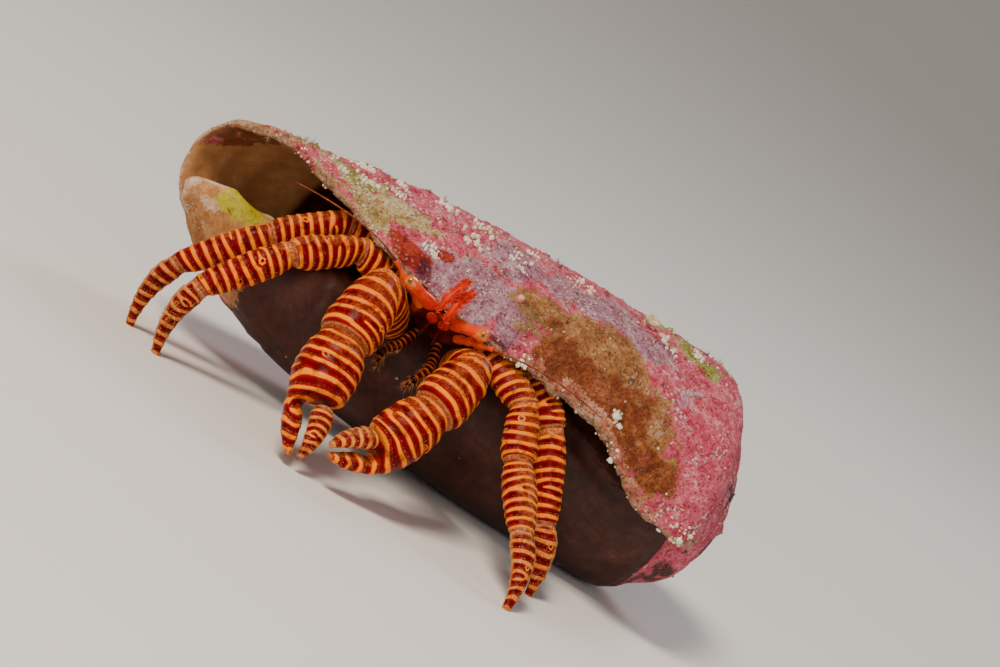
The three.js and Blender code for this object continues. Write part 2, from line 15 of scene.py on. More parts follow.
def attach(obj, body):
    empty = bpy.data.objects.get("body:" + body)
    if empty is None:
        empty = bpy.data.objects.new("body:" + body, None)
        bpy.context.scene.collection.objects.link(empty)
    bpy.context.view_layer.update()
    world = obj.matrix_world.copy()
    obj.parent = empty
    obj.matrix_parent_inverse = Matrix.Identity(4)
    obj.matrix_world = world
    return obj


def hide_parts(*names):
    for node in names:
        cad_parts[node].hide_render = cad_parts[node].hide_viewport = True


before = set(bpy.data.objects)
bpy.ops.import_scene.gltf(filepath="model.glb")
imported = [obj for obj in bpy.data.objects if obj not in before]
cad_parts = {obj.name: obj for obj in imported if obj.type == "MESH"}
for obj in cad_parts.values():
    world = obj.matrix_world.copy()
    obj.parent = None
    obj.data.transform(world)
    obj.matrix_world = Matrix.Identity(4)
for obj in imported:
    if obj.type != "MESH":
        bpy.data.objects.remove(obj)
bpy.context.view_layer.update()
MM = 0.001
TURN = 2 * math.pi

# %% [markdown]
# The drawing of the crab has its own zero point. Its right front foot stands at (-26.9, -18.0, 0) mm there, so the
# flat under that foot tells how far the drawing was moved when the model was centred on its floor.


# %% Places of the drawing
def read_vectors(obj, field):
    """The places ("co") of a mesh's vertices in metres, or its vertex normals, as rows of x, y, z."""
    source = obj.data.vertices if field == "co" else obj.data.vertex_normals
    flat = np.zeros(len(obj.data.vertices) * 3, np.float32)
    source.foreach_get(field, flat)
    return flat.reshape(-1, 3).astype(float)


sole = read_vectors(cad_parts["right_front_leg_dactyl"], "co")
sole = sole[sole[:, 2] < 0.001 * MM]
DRAWING = np.array([sole[:, 0].mean() / MM + 26.9, sole[:, 1].mean() / MM + 18.0, 0.0])
print("the drawing was moved by", DRAWING.round(3), "mm")


def placed(points_mm):
    """Places of the drawing, in mm, as places of the model, in metres."""
    return (np.asarray(points_mm, float) + DRAWING) * MM


def in_drawing(obj):
    """The places of a mesh's vertices in the drawing, in mm."""
    return read_vectors(obj, "co") / MM - DRAWING


# %% [markdown]
# ## Camera, floor and light
# The crab sits aslant in its picture, because the camera was turned with it by 34 degrees. The crab itself stands
# level here, and the camera turns about its own line of sight instead. The pale floor runs up behind in one sweep,
# so that no edge of it shows aslant. Large soft lamps stand round the crab, the main one high at the front left.

# %% Camera
ROLL = math.radians(34)
RISE = math.radians(8)
DISTANCE = 350 * MM
camera = bpy.data.objects.new("camera", bpy.data.cameras.new("camera"))
camera.data.lens, camera.data.sensor_width = 123.1, 36
camera.data.clip_start, camera.data.clip_end = 0.01, 20
bpy.context.scene.collection.objects.link(camera)
bpy.context.scene.camera = camera
aim = Vector(placed([0, 0, 18.2]))
toward = Vector((0, -math.cos(RISE), math.sin(RISE)))
level_right, level_up = Vector((1, 0, 0)), Vector((0, math.sin(RISE), math.cos(RISE)))
camera_right = level_right * math.cos(ROLL) + level_up * math.sin(ROLL)
camera_up = -level_right * math.sin(ROLL) + level_up * math.cos(ROLL)
turned = Matrix((camera_right, camera_up, toward)).transposed().to_4x4()
camera.matrix_world = Matrix.Translation(aim + toward * DISTANCE) @ turned
print("the camera stands", round(camera.location.z / MM, 1), "mm above the floor")


# %% Colour and node helpers
def paint(hex_colour):
    """An sRGB hex colour as linear red, green, blue and alpha."""
    parts = [int(hex_colour[i : i + 2], 16) / 255 for i in (1, 3, 5)]
    return [c / 12.92 if c <= 0.04045 else ((c + 0.055) / 1.055) ** 2.4 for c in parts] + [1.0]


def add(material, kind, inputs=(), stops=(), out=0, **settings):
    """Adds one node and gives back one output of it. An input is a value, or the output that feeds it, by its
    number or name. Stops are a colour ramp's."""
    tree = material.node_tree
    node = tree.nodes.new("ShaderNode" + kind)
    for name, value in settings.items():
        setattr(node, name, value)
    for name, value in inputs.items() if isinstance(inputs, dict) else enumerate(inputs):
        if isinstance(value, bpy.types.NodeSocket):
            tree.links.new(value, node.inputs[name])
        else:
            node.inputs[name].default_value = value
    for i, (share, colour) in enumerate(stops):
        stop = node.color_ramp.elements[i] if i < 2 else node.color_ramp.elements.new(share)
        stop.position = share
        stop.color = paint(colour)
    return node.outputs[out]


def new_material(name, **uniform):
    """A material whose even values are set on the shader's own sockets."""
    material = bpy.data.materials.new(name)
    material.use_nodes = True
    for key, value in uniform.items():
        material.node_tree.nodes["Principled BSDF"].inputs[key.replace("_", " ")].default_value = value
    return material


def dress(material, colour, height=None, strength=0.0, distance=0.0):
    """Feeds a material's shader with a colour, and with bumps of a depth in metres."""
    shader = material.node_tree.nodes["Principled BSDF"]
    material.node_tree.links.new(colour, shader.inputs["Base Color"])
    if height is not None:
        bump = add(material, "Bump", {"Height": height, "Strength": strength, "Distance": distance})
        material.node_tree.links.new(bump, shader.inputs["Normal"])
    return material


# %% Helpers for modelling by hand
def only(obj):
    """Makes obj the one selected and active object."""
    bpy.ops.object.select_all(action="DESELECT")
    obj.select_set(True)
    bpy.context.view_layer.objects.active = obj


def select_where(obj, kind, test):
    """Goes to edit mode with only those edges or faces selected that pass a test."""
    bpy.ops.object.mode_set(mode="EDIT")
    bpy.ops.mesh.select_all(action="DESELECT")
    bpy.ops.object.mode_set(mode="OBJECT")
    for part in getattr(obj.data, kind):
        part.select = test(part)
    bpy.ops.object.mode_set(mode="EDIT")


def shaped_by(obj, kind, **settings):
    """Adds a modifier and applies it."""
    only(obj)
    modifier = obj.modifiers.new(kind.lower(), kind)
    for name, value in settings.items():
        setattr(modifier, name, value)
    bpy.ops.object.modifier_apply(modifier=modifier.name)


# %% Floor
bpy.ops.object.select_all(action="DESELECT")
bpy.ops.mesh.primitive_plane_add(size=2.4, location=(0, 0, 0))
floor = bpy.context.object
floor.name = "floor"
select_where(floor, "edges", lambda edge: all(floor.data.vertices[i].co.y > 1 for i in edge.vertices))
bpy.ops.mesh.select_mode(type="EDGE")
bpy.ops.mesh.extrude_region_move(TRANSFORM_OT_translate={"value": (0, 0, 1.8)})
bpy.ops.mesh.select_all(action="DESELECT")
bpy.ops.object.mode_set(mode="OBJECT")
shaped_by(floor, "BEVEL", width=0.9, segments=24)
bpy.ops.object.shade_smooth()
# unprinted studio paper, dull all over, so it shows only soft shadows
floor.data.materials.append(new_material("matt_paper_backdrop", Roughness=0.95, Base_Color=paint("#f4f2ee")))
print("floor and sweep:", len(floor.data.polygons), "faces")

# %% Lamps
LAMPS = {
    "main_lamp": ((-200, -300, 460), 140, 3.2, "#ffefdc"),
    "fill_lamp": ((330, -260, 160), 260, 0.32, "#fbfaff"),
    "front_lamp": ((-60, -420, 120), 220, 0.45, "#fff6ea"),
    "rim_lamp": ((120, 300, 320), 160, 0.55, "#ffffff"),
}
for name, (place_mm, size_mm, watts, colour) in LAMPS.items():
    lamp = bpy.data.objects.new(name, bpy.data.lights.new(name, "AREA"))
    lamp.data.energy, lamp.data.size, lamp.data.color = watts, size_mm * MM, paint(colour)[:3]
    bpy.context.scene.collection.objects.link(lamp)
    lamp.location = Vector(place_mm) * MM
    lamp.rotation_euler = (aim - lamp.location).to_track_quat("-Z", "Y").to_euler()
world = bpy.data.worlds.new("studio")
world.use_nodes = True
world.node_tree.nodes["Background"].inputs["Color"].default_value = paint("#e9ecf2")
world.node_tree.nodes["Background"].inputs["Strength"].default_value = 0.13
bpy.context.scene.world = world
print("lamps:", ", ".join(LAMPS))

# %% [markdown]
# ## Helpers for grown shapes
# A limb isn't turned or moulded. It is a smooth loft through oval sections, and every section of it follows the
# drawing. Soft random "clouds" give the small irregular growth, from a table of random values that is read smoothly.

# %% Soft noise and smooth curves
TABLE = np.random.default_rng(11).random((32, 32, 32))


def clouds(points, size, seed=0):
    """Smooth noise from -1 to 1 at points, with lumps about as large as size."""
    grid = np.asarray(points, float) / size + seed * 7.31
    cell = np.floor(grid).astype(int)
    part = grid - cell
    part = part * part * (3 - 2 * part)
    total = 0
    for corner in np.ndindex(2, 2, 2):
        share = np.prod(np.where(corner, part, 1 - part), axis=-1)
        x, y, z = ((cell[..., i] + corner[i]) % 32 for i in range(3))
        total = total + share * TABLE[x, y, z]
    return total * 2 - 1


def smoothly(at, low, high):
    """0 below low, 1 above high, and an even S between them."""
    share = np.clip((np.asarray(at, float) - low) / (high - low), 0, 1)
    return share * share * (3 - 2 * share)


def smooth_through(knots, values, at):
    """A smooth curve through values at rising knots, read at many places. Values may differ from place to place."""
    knots, values = np.asarray(knots, float), np.asarray(values, float)
    slopes = np.gradient(values, knots, axis=0)
    k = np.clip(np.searchsorted(knots, at) - 1, 0, len(knots) - 2)
    t = ((at - knots[k]) / (knots[k + 1] - knots[k]))[:, None]
    width = (knots[k + 1] - knots[k])[:, None]
    each = (np.arange(len(at)),) if values.ndim == 3 else ()
    a, b, da, db = values[(k, *each)], values[(k + 1, *each)], slopes[(k, *each)], slopes[(k + 1, *each)]
    ends = (1 + 2 * t) * (1 - t) ** 2 * a + t * t * (3 - 2 * t) * b
    return ends + t * (1 - t) ** 2 * width * da - t * t * (1 - t) * width * db


def unit(vectors):
    return vectors / np.linalg.norm(vectors, axis=-1, keepdims=True)


# %% Mesh helpers
def set_corners(obj, points_mm):
    """Moves all vertices of a mesh to new places of the drawing."""
    obj.data.vertices.foreach_set("co", placed(points_mm).astype(np.float32).ravel())
    obj.data.update()


def mark(obj, **marks):
    """Stores numbers or vectors on each vertex, for the material to read."""
    for name, values in marks.items():
        values = np.asarray(values, np.float32)
        kind, field = ("FLOAT", "value") if values.ndim == 1 else ("FLOAT_VECTOR", "vector")
        obj.data.attributes.new(name, kind, "POINT").data.foreach_set(field, values.ravel())


def rows_and_turns(name, rows, around):
    """A ball from the primitive, with each vertex's row from the first pole and its turn round the middle line."""
    bpy.ops.object.select_all(action="DESELECT")
    bpy.ops.mesh.primitive_uv_sphere_add(segments=around, ring_count=rows, radius=1, location=(0, 0, 0))
    obj = bpy.context.object
    obj.name = obj.data.name = name
    bpy.ops.object.shade_smooth()
    points = read_vectors(obj, "co")
    row = np.rint(np.arccos(np.clip(points[:, 2], -1, 1)) / math.pi * rows)
    return obj, rows - row, np.arctan2(points[:, 1], points[:, 0])


def finished(obj, material, slot, *nodes):
    """Gives a piece its material, lets it ride on the crab, and puts it in place of its solids. The slot is not used.
    """
    obj.data.materials.clear()
    obj.data.materials.append(material)
    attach(obj, "root")
    if nodes:
        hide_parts(*nodes)
    return obj


# %% [markdown]
# ## Sections of the legs and claws
# Each piece of a leg is a horny tube that bulges a little between two joints. A section is given by its share of the
# piece's length and by its half-height and half-width, as shares of the limb's own half-thickness. The ends are cut
# aslant, halfway between the directions of the two pieces that meet, just as a carpenter mitres a frame.

# %% Sections
JOINT_GAP = 0.24
LEG_SECTIONS = {
    "merus": [(0, 0.72, 0.6), (0.16, 1.0, 0.8), (0.5, 1.12, 0.86), (0.84, 1.1, 0.84), (1, 0.92, 0.78)],
    "carpus": [(0, 0.82, 0.7), (0.16, 1.0, 0.8), (0.5, 1.12, 0.88), (0.84, 1.14, 0.9), (1, 0.96, 0.82)],
    "propodus": [(0, 0.82, 0.7), (0.14, 1.02, 0.84), (0.38, 1.1, 0.88), (0.66, 1.02, 0.82), (0.88, 0.9, 0.74),
                 (1, 0.76, 0.64)],
    "dactyl": [(0, 0.7, 0.58), (0.16, 0.82, 0.64), (0.4, 0.7, 0.54), (0.64, 0.54, 0.42), (0.84, 0.4, 0.32),
               (1, 0.3, 0.26)],
}
CLAW_SECTIONS = {
    "merus": [(0, 0.5, 0.54), (0.2, 0.7, 0.7), (0.6, 0.82, 0.8), (0.86, 0.86, 0.84), (1, 0.76, 0.74)],
    "carpus": [(0, 0.72, 0.7), (0.18, 0.94, 0.92), (0.5, 1.04, 1.02), (0.82, 1.08, 1.06), (1, 0.92, 0.92)],
}
# along a palm and its fixed finger, 1 is the knuckle and 2 the tip, and the last number is a shift to one side
PALM_SECTIONS = [(0, 0.78, 0.78, 0), (0.22, 1.0, 1.02, 0), (0.5, 1.06, 1.12, 0), (0.8, 1.0, 1.08, 0),
                 (0.98, 0.84, 0.92, 0), (1.06, 0.62, 0.42, -0.46), (1.45, 0.5, 0.36, -0.45), (1.8, 0.34, 0.25, -0.34),
                 (1.98, 0.16, 0.13, -0.23)]
PALM_KNOTS = [0, 0.22, 0.5, 0.8, 0.98, 1.12, 1.45, 1.8, 1.98]
FINGER_SECTIONS = [(1.15, 0.46, 0.3, 0.5), (1.24, 0.56, 0.38, 0.5), (1.5, 0.48, 0.36, 0.49), (1.82, 0.33, 0.25, 0.38),
                   (2.0, 0.16, 0.13, 0.23)]
# half-thickness, and the places of the joints and the tip
LEGS = {
    "right_front_leg": (1.5, [(-10.2, -8.9, 17.5), (-16.0, -11.3, 18.9), (-21.3, -15.2, 15.4), (-26.8, -18.2, 8.0),
                              (-26.9, -18.0, 0)]),
    "right_rear_leg": (1.45, [(-10.2, -5.2, 18.9), (-18.6, -7.8, 20.1), (-24.2, -11.8, 15.2), (-30.2, -14.0, 8.0),
                              (-31.0, -13.2, 0)]),
    "left_front_leg": (1.6, [(-1.0, -8.4, 17.6), (6.0, -11.5, 15.2), (8.6, -14.8, 10.6), (12.6, -21.2, 6.1),
                             (15.2, -25.6, 0)]),
    "left_rear_leg": (1.5, [(-0.7, -4.9, 19.0), (4.9, -6.9, 18.0), (9.6, -9.4, 14.4), (14.3, -12.4, 6.6),
                            (16.8, -13.8, 0)]),
}
# half-thickness, the direction across the palm, and the places of the joints and the tip
CLAWS = {
    "right_claw": (2.85, (1, -0.2, 0.1), [(-9.4, -10.4, 14.2), (-11.9, -16.4, 17.2), (-12.1, -21.2, 12.0),
                                          (-11.4, -25.2, 6.6), (-9.8, -27.6, 1.4)]),
    "left_claw": (2.6, (-0.3, -0.1, 0.95), [(-2.0, -10.2, 14.2), (-0.2, -16.2, 15.7), (-1.1, -20.8, 11.1),
                                            (-3.4, -24.2, 5.6), (-7.2, -27.2, 3.6)]),
}
print("limbs:", len(LEGS), "legs and", len(CLAWS), "claws")


# %% Mitred tubes
def mitres(places):
    """The direction of the cut at each joint."""
    axes = [unit(b - a) for a, b in zip(places, places[1:])]
    return [axes[0]] + [unit(a + b) for a, b in zip(axes, axes[1:])]


def across_and_up(along, side):
    """Two directions square to a piece and to each other."""
    across = unit(side - side.dot(along) * along)
    return across, np.cross(across, along)


def oval(centre, along, side, high, wide, shift, cut=None):
    """A section as a function of the turn: an oval square to along, or slid along it to lie in a cut."""
    across, upward = across_and_up(along, side)

    def ring(turn):
        q = upward * (high * np.sin(turn))[:, None] + across * (wide * np.cos(turn) + shift)[:, None]
        slid = 0 if cut is None else ((JOINT_GAP / 2 - q @ cut) / along.dot(cut))[:, None]
        return centre + q + along * slid

    return ring


def limb_rings(start, end, cut_start, cut_end, side, sections, half):
    """The sections of a tube between two joints, where a cut's slant fades out over 0.3 of the length. Without a
    second cut it is a leg's toe, which bows outwards and stands on a small flat."""
    toe = cut_end is None
    along, length = unit(end - start), np.linalg.norm(end - start)
    across, upward = across_and_up(along, side)
    bow = upward * np.copysign(0.36 * length, upward[2]) * toe

    def section(share, high, wide):
        def ring(turn):
            q = upward * (high * half * np.sin(turn))[:, None] + across * (wide * half * np.cos(turn))[:, None]
            slid = max(0, 1 - share / 0.3) * (JOINT_GAP / 2 - q @ cut_start) / along.dot(cut_start)
            if not toe:
                slid = slid - max(0, 1 - (1 - share) / 0.3) * (JOINT_GAP / 2 + q @ cut_end) / along.dot(cut_end)
            points = start + bow * share * (1 - share) + q + along * (share * length + slid)[:, None]
            if toe and share == 1:
                points[:, 2] = 0
            return points

        return ring

    return [share * length for share, _, _ in sections], [section(*each) for each in sections]


# %% [markdown]
# ## Rings of colour on raised ridges
# The red and yellow rings of this crab aren't only painted on. Each red ring is a low ridge with a fringe of short
# bristles along its far edge, and the yellow lies in the furrow between. So one "phase" runs along each limb,
# growing by a full turn from ring to ring. It raises the ridges, colours them, and tells where bristles stand. Here
# and there two rings join into a fork, as in a fingerprint. A fork is a place round which the phase gains a turn.

# %% The phase of the rings
def ring_phase(far, turn, girth, period, seed, forks):
    """The phase at lengths far and turns, in mm and radians. Forks are (far, turn, sign)."""
    place = np.stack([far, girth * np.cos(turn), girth * np.sin(turn)], axis=-1)
    phase = TURN * far / period + clouds(place, 2.6, seed) + 0.5 * clouds(place, 1.1, seed + 5)
    phase = phase + 0.45 * np.sin(turn + seed) + 0.3 * np.sin(2 * turn + 2 * seed)
    for fork_far, fork_turn, sign in forks:
        phase = phase + sign * np.angle(np.sin(((turn - fork_turn) + 1j * (far - fork_far) / girth) / 2))
    return phase


def ring_vector(phase):
    """The phase as a direction, which has no jump where a full turn ends."""
    return np.stack([np.cos(phase), np.sin(phase), 0 * phase], axis=-1)


def chosen_forks(random, length, period):
    """A few pairs of forks, where one more ring starts and ends."""
    forks = []
    for _ in range(max(1, round(length / period / 4))):
        far = random.uniform(0.15, 0.85) * length
        turn = random.uniform(-math.pi, math.pi)
        forks += [(far, turn, 1), (far + random.uniform(-0.4, 0.4) * period, turn + random.uniform(0.9, 2.6), -1)]
    return forks


# %% A loft with ridges
# how high the ridges stand, and how far apart the rows of corners lie, in mm
RIDGE, ROW_STEP = 0.085, 0.092
# the rows that close an end: how wide they are, as a share of the rim, and how far they stand out
START_CAP = [(0.0, -0.42), (0.3, -0.4), (0.55, -0.33), (0.76, -0.2), (0.9, -0.07)]
END_CAP = [(0.985, 0.05), (0.93, 0.07), (0.85, 0.0), (0.72, -0.2), (0.4, -0.28), (0.0, -0.3)]
TIP_CAP = [(0.93, 0.05), (0.8, 0.1), (0.62, 0.14), (0.4, 0.17), (0.2, 0.18), (0.0, 0.185)]
# the distance, in mm, that means "no curl near here"
FAR_AWAY = 9.0


def loft(knots, rings):
    """A function from length and turn to a place, through all sections."""
    return lambda far, turn: smooth_through(knots, np.stack([ring(turn) for ring in rings]), far)


def middle_at(surface, far, count):
    """The middle of a loft at one length, from its places all round."""
    return surface(np.full(count, far), np.linspace(0, TURN, count + 1)[:count]).mean(axis=0)


def outward_at(surface, far, turn, top):
    """The outward direction of a loft."""
    step = 0.02
    along = surface(np.clip(far + step, 0, top), turn) - surface(np.clip(far - step, 0, top), turn)
    around = surface(far, turn + step) - surface(far, turn - step)
    return unit(np.cross(around, along))


def ridge_height(phase):
    """High on the red part, steep towards its far edge, and low in the yellow furrow."""
    skewed = phase + 0.55 * np.sin(phase)
    return (0.5 - 0.5 * np.cos(skewed)) ** 0.8


def curls_at(random, far, turn, length, girth):
    """How far each corner lies from the nearest of two small curls, in mm along and around."""
    curl = np.full((len(far), 3), FAR_AWAY)
    for _ in range(2 if girth > 1.3 else 0):
        at, side = random.uniform(0.25, 0.8) * length, random.uniform(-math.pi, math.pi)
        away = (turn - side + math.pi) % TURN - math.pi
        offset = np.stack([far - at, away * girth, 0 * far], axis=-1)
        closer = np.linalg.norm(offset, axis=1) < np.linalg.norm(curl, axis=1)
        curl[closer] = offset[closer]
    return curl


# %% One ringed piece
def ringed_piece(node, knots, rings, girth, period, seed, material, end="rim", around=56):
    """One horny piece of a limb as a closed mesh that ends in a rim, a tip or a flat. It gives back what its
    bristles need to find their roots."""
    random = np.random.default_rng(seed)
    length = knots[-1]
    side_rows = max(12, round(length / ROW_STEP))
    end_cap = END_CAP if end == "rim" else TIP_CAP
    rows = len(START_CAP) + side_rows + len(end_cap)
    obj, row, turn = rows_and_turns(node + "_plate", rows, around)
    surface = loft(knots, rings)
    share = np.clip((row - len(START_CAP)) / side_rows, 0, 1)
    far = share * length
    points = surface(far, turn)
    forks = chosen_forks(random, length, period)
    offset = random.uniform(0, period)
    forks = [(fork_far + offset, fork_turn, sign) for fork_far, fork_turn, sign in forks]
    phase = ring_phase(far + offset, turn, girth, period, seed, forks)
    normal = outward_at(surface, far, turn, length)
    # the ridges fade out towards the joints, and a rim flares a little
    away = smoothly(far, 0, 0.35) * (1 - smoothly(far, length - 0.3, length) if end == "rim" else 1)
    if end == "flat":
        away = away * (1 - smoothly(far, length - 1.2, length - 0.2))
    flare = 0.09 * smoothly(far, length - 0.45, length) * (end == "rim")
    raised = RIDGE * (ridge_height(phase) - 0.6) + 0.02 * clouds(points, 0.5, seed + 3)
    raised = points + normal * (raised * away + flare)[:, None]
    inner = [surface(np.full(16, at), np.arange(16.0)).mean(axis=0) for at in (0, 0.4, length - 0.4, length)]
    out_start, out_end = unit(inner[1] - inner[0]), unit(inner[3] - inner[2])
    lift_end = {"rim": 0.5, "tip": 0.6, "flat": 0}[end]
    for cap, first, middle, out, lift in (
        (START_CAP, 0, middle_at(surface, 0, 64), out_start, 0.5),
        (end_cap, rows - len(end_cap) + 1, middle_at(surface, length, 64), out_end, lift_end),
    ):
        for i, (width, push) in enumerate(cap):
            here = row == first + i
            rim = points[here] + normal[here] * (flare[here] * (first > 0))[:, None]
            raised[here] = middle + (rim - middle) * width + out * push * girth * lift
    if end == "flat":
        raised[:, 2] = np.maximum(raised[:, 2], 0)
    set_corners(obj, raised)
    to_end = np.where(row > rows - len(end_cap), 0, length - far)
    mark(obj, band=ring_vector(phase), from_start=far, to_end=to_end, flank=np.abs(np.cos(turn)))
    mark(obj, curl=curls_at(random, far, turn, length, girth), under=np.clip(-normal[:, 2], 0, 1))
    finished(obj, material, "banded_plate", node)
    return dict(surface=surface, length=length, girth=girth, period=period, seed=seed, forks=forks, offset=offset)


# %% [markdown]
# ## Horny plates, ringed in crimson and yellow
# A crab's skin hardens into chitin with lime, which is smooth like a fingernail: a satin gloss over a colour that lies
# a little below. The phase gives the rings with a soft orange edge. Clouds darken some of the crimson and make the
# rims of the pieces paler, and a fine bump stands for the tiny pits between the bristles.

# %% Ringed chitin
def ringed_chitin(name, crimson, red, orange, yellow, pale, collar=0.45, blotched=False, share_of_red=0.62):
    """Crimson and yellow rings. A collar of this many mm stays pale, and blotched rings break up on the edges."""
    m = new_material(name, Roughness=0.28, Specular_IOR_Level=0.07)
    place = add(m, "TexCoord", out="Object")
    along = add(m, "SeparateXYZ", [add(m, "Attribute", out="Vector", attribute_name="band")])
    # ragged edges, about 0.25 mm
    ragged = add(m, "TexNoise", {"Vector": place, "Scale": 3600, "Detail": 3, "Roughness": 0.6})
    edge = add(m, "Math", [ragged, 0.5, -0.25], operation="MULTIPLY_ADD")
    edge = add(m, "Math", [along, edge], operation="ADD")
    share = add(m, "MapRange", [edge, -1.0, 1.0])
    # a curl is a small yellow loop that hooks on to the next ring, round a red heart 0.4 mm across
    curl = add(m, "Attribute", out="Vector", attribute_name="curl")
    curl = add(m, "VectorMath", [curl], out="Value", operation="LENGTH")
    curl = add(m, "Math", [ragged, 0.45, curl], operation="MULTIPLY_ADD")
    curl = add(m, "Math", [curl, -0.14], operation="ADD")
    looped = add(m, "ValToRGB", [curl], [(0.2, "#000000"), (0.28, "#e8e8e8"), (0.42, "#e8e8e8"), (0.52, "#000000")])
    share = add(m, "Math", [share, looped], operation="MAXIMUM")
    share = add(m, "Math", [share, add(m, "MapRange", [curl, 0.18, 0.26])], operation="MULTIPLY")
    soft_edge = [(share_of_red, red), (share_of_red + 0.08, orange), (share_of_red + 0.16, yellow)]
    rings = add(m, "ValToRGB", [share], [(0.0, crimson)] + soft_edge)
    # cloudy depth of colour, about 1 mm
    cloudy = add(m, "TexNoise", {"Vector": place, "Scale": 900, "Detail": 3})
    shade = add(m, "ValToRGB", [cloudy], [(0.3, "#a88480"), (0.48, "#ffffff"), (1.0, "#ffffff")])
    tinted = add(m, "Mix", {0: 1.0, 6: rings, 7: shade}, out=2, data_type="RGBA", blend_type="MULTIPLY")
    # pale collars at both ends, with a frayed edge
    start = add(m, "Attribute", out="Fac", attribute_name="from_start")
    broad = add(m, "TexNoise", {"Vector": place, "Scale": 330, "Detail": 1})
    frayed = add(m, "Math", [ragged, 0.9, start], operation="MULTIPLY_ADD")
    frayed = add(m, "Math", [broad, 2.6, frayed], operation="MULTIPLY_ADD")
    rim = add(m, "MapRange", [frayed, collar + 1.85, collar + 1.4], interpolation_type="SMOOTHSTEP")
    end = add(m, "Attribute", out="Fac", attribute_name="to_end")
    frayed = add(m, "Math", [ragged, 0.5, end], operation="MULTIPLY_ADD")
    rim = add(m, "Math", [rim, add(m, "MapRange", [frayed, 0.45, 0.25])], operation="MAXIMUM")
    # the underside is paler and fuzzy
    under = add(m, "Attribute", out="Fac", attribute_name="under")
    under = add(m, "Math", [cloudy, 0.8, under], operation="MULTIPLY_ADD")
    rim = add(m, "Math", [rim, add(m, "MapRange", [under, 0.95, 1.5, 0.0, 0.55])], operation="MAXIMUM")
    if blotched:
        flank = add(m, "Attribute", out="Fac", attribute_name="flank")
        flank = add(m, "Math", [cloudy, 0.9, flank], operation="MULTIPLY_ADD")
        rim = add(m, "Math", [rim, add(m, "MapRange", [flank, 0.98, 0.66])], operation="MAXIMUM")
        rim = add(m, "Math", [rim, add(m, "MapRange", [edge, 0.45, 0.75, 0.0, 0.6])], operation="MAXIMUM")
    rim = add(m, "Math", [rim, 0.92], operation="MULTIPLY")
    paleness = add(m, "ValToRGB", [ragged], [(0.32, "#8e3c16"), (0.5, pale), (0.75, "#eab27c")])
    whole = add(m, "Mix", {0: rim, 6: tinted, 7: paleness}, out=2, data_type="RGBA")
    # pits of about 0.15 mm between the bristles
    return dress(m, whole, add(m, "TexNoise", {"Vector": place, "Scale": 6500, "Detail": 2}), 0.35, 0.00006)


leg_chitin = ringed_chitin("ringed_leg_chitin", "#640005", "#960003", "#e03c00", "#fc8c00", "#c46c2e", 0.4)
claw_chitin = ringed_chitin(
    "ringed_claw_chitin", "#680004", "#9c0203", "#e03e00", "#fc9000", "#c46224", 0.1, share_of_red=0.67
)
toe_chitin = ringed_chitin(
    "blotched_toe_chitin", "#5e0206", "#880606", "#c0420a", "#e48222", "#c07a42", 0.4, blotched=True
)
finger_chitin = ringed_chitin(
    "striped_finger_chitin", "#6c0406", "#980a0a", "#cc4c18", "#ea9038", "#cc8048", 0.35, share_of_red=0.57
)
# the mouth legs' colours are darkened and dulled: painted shade, as they hang in the shade under the head
mouth_chitin_painted_shade = ringed_chitin("mouth_leg_chitin_in_painted_shade", "#1c0303", "#3a0605", "#6c1e06", "#98400c", "#5c2a12", 0.2)
print("ringed chitin has", len(leg_chitin.node_tree.nodes), "nodes")

# %% [markdown]
# ## Legs and claws
# Each leg has four visible pieces, here called by their proper names: merus, carpus, propodus and dactyl. A claw has
# a merus, a carpus and a palm, whose outer side runs on into the fixed finger, and a movable finger that closes
# against it.

# %% Legs
PERIOD = 1.05
facts_of = {}
for index, (leg, (half, places)) in enumerate(LEGS.items()):
    places = np.array(places, float)
    cuts = mitres(places) + [None]
    side = unit(np.cross(places[1] - places[0], places[3] - places[1]))
    for i, (piece, sections) in enumerate(LEG_SECTIONS.items()):
        tube = limb_rings(places[i], places[i + 1], cuts[i], cuts[i + 1], side, sections, half)
        finish, end, around = (toe_chitin, "flat", 40) if piece == "dactyl" else (leg_chitin, "rim", 56)
        facts_of[f"{leg}_{piece}"] = ringed_piece(
            f"{leg}_{piece}", *tube, half * 0.95, PERIOD, 10 * index + i, finish, end, around
        )
    print(leg, "length in mm:", round(sum(np.linalg.norm(b - a) for a, b in zip(places, places[1:])), 1))

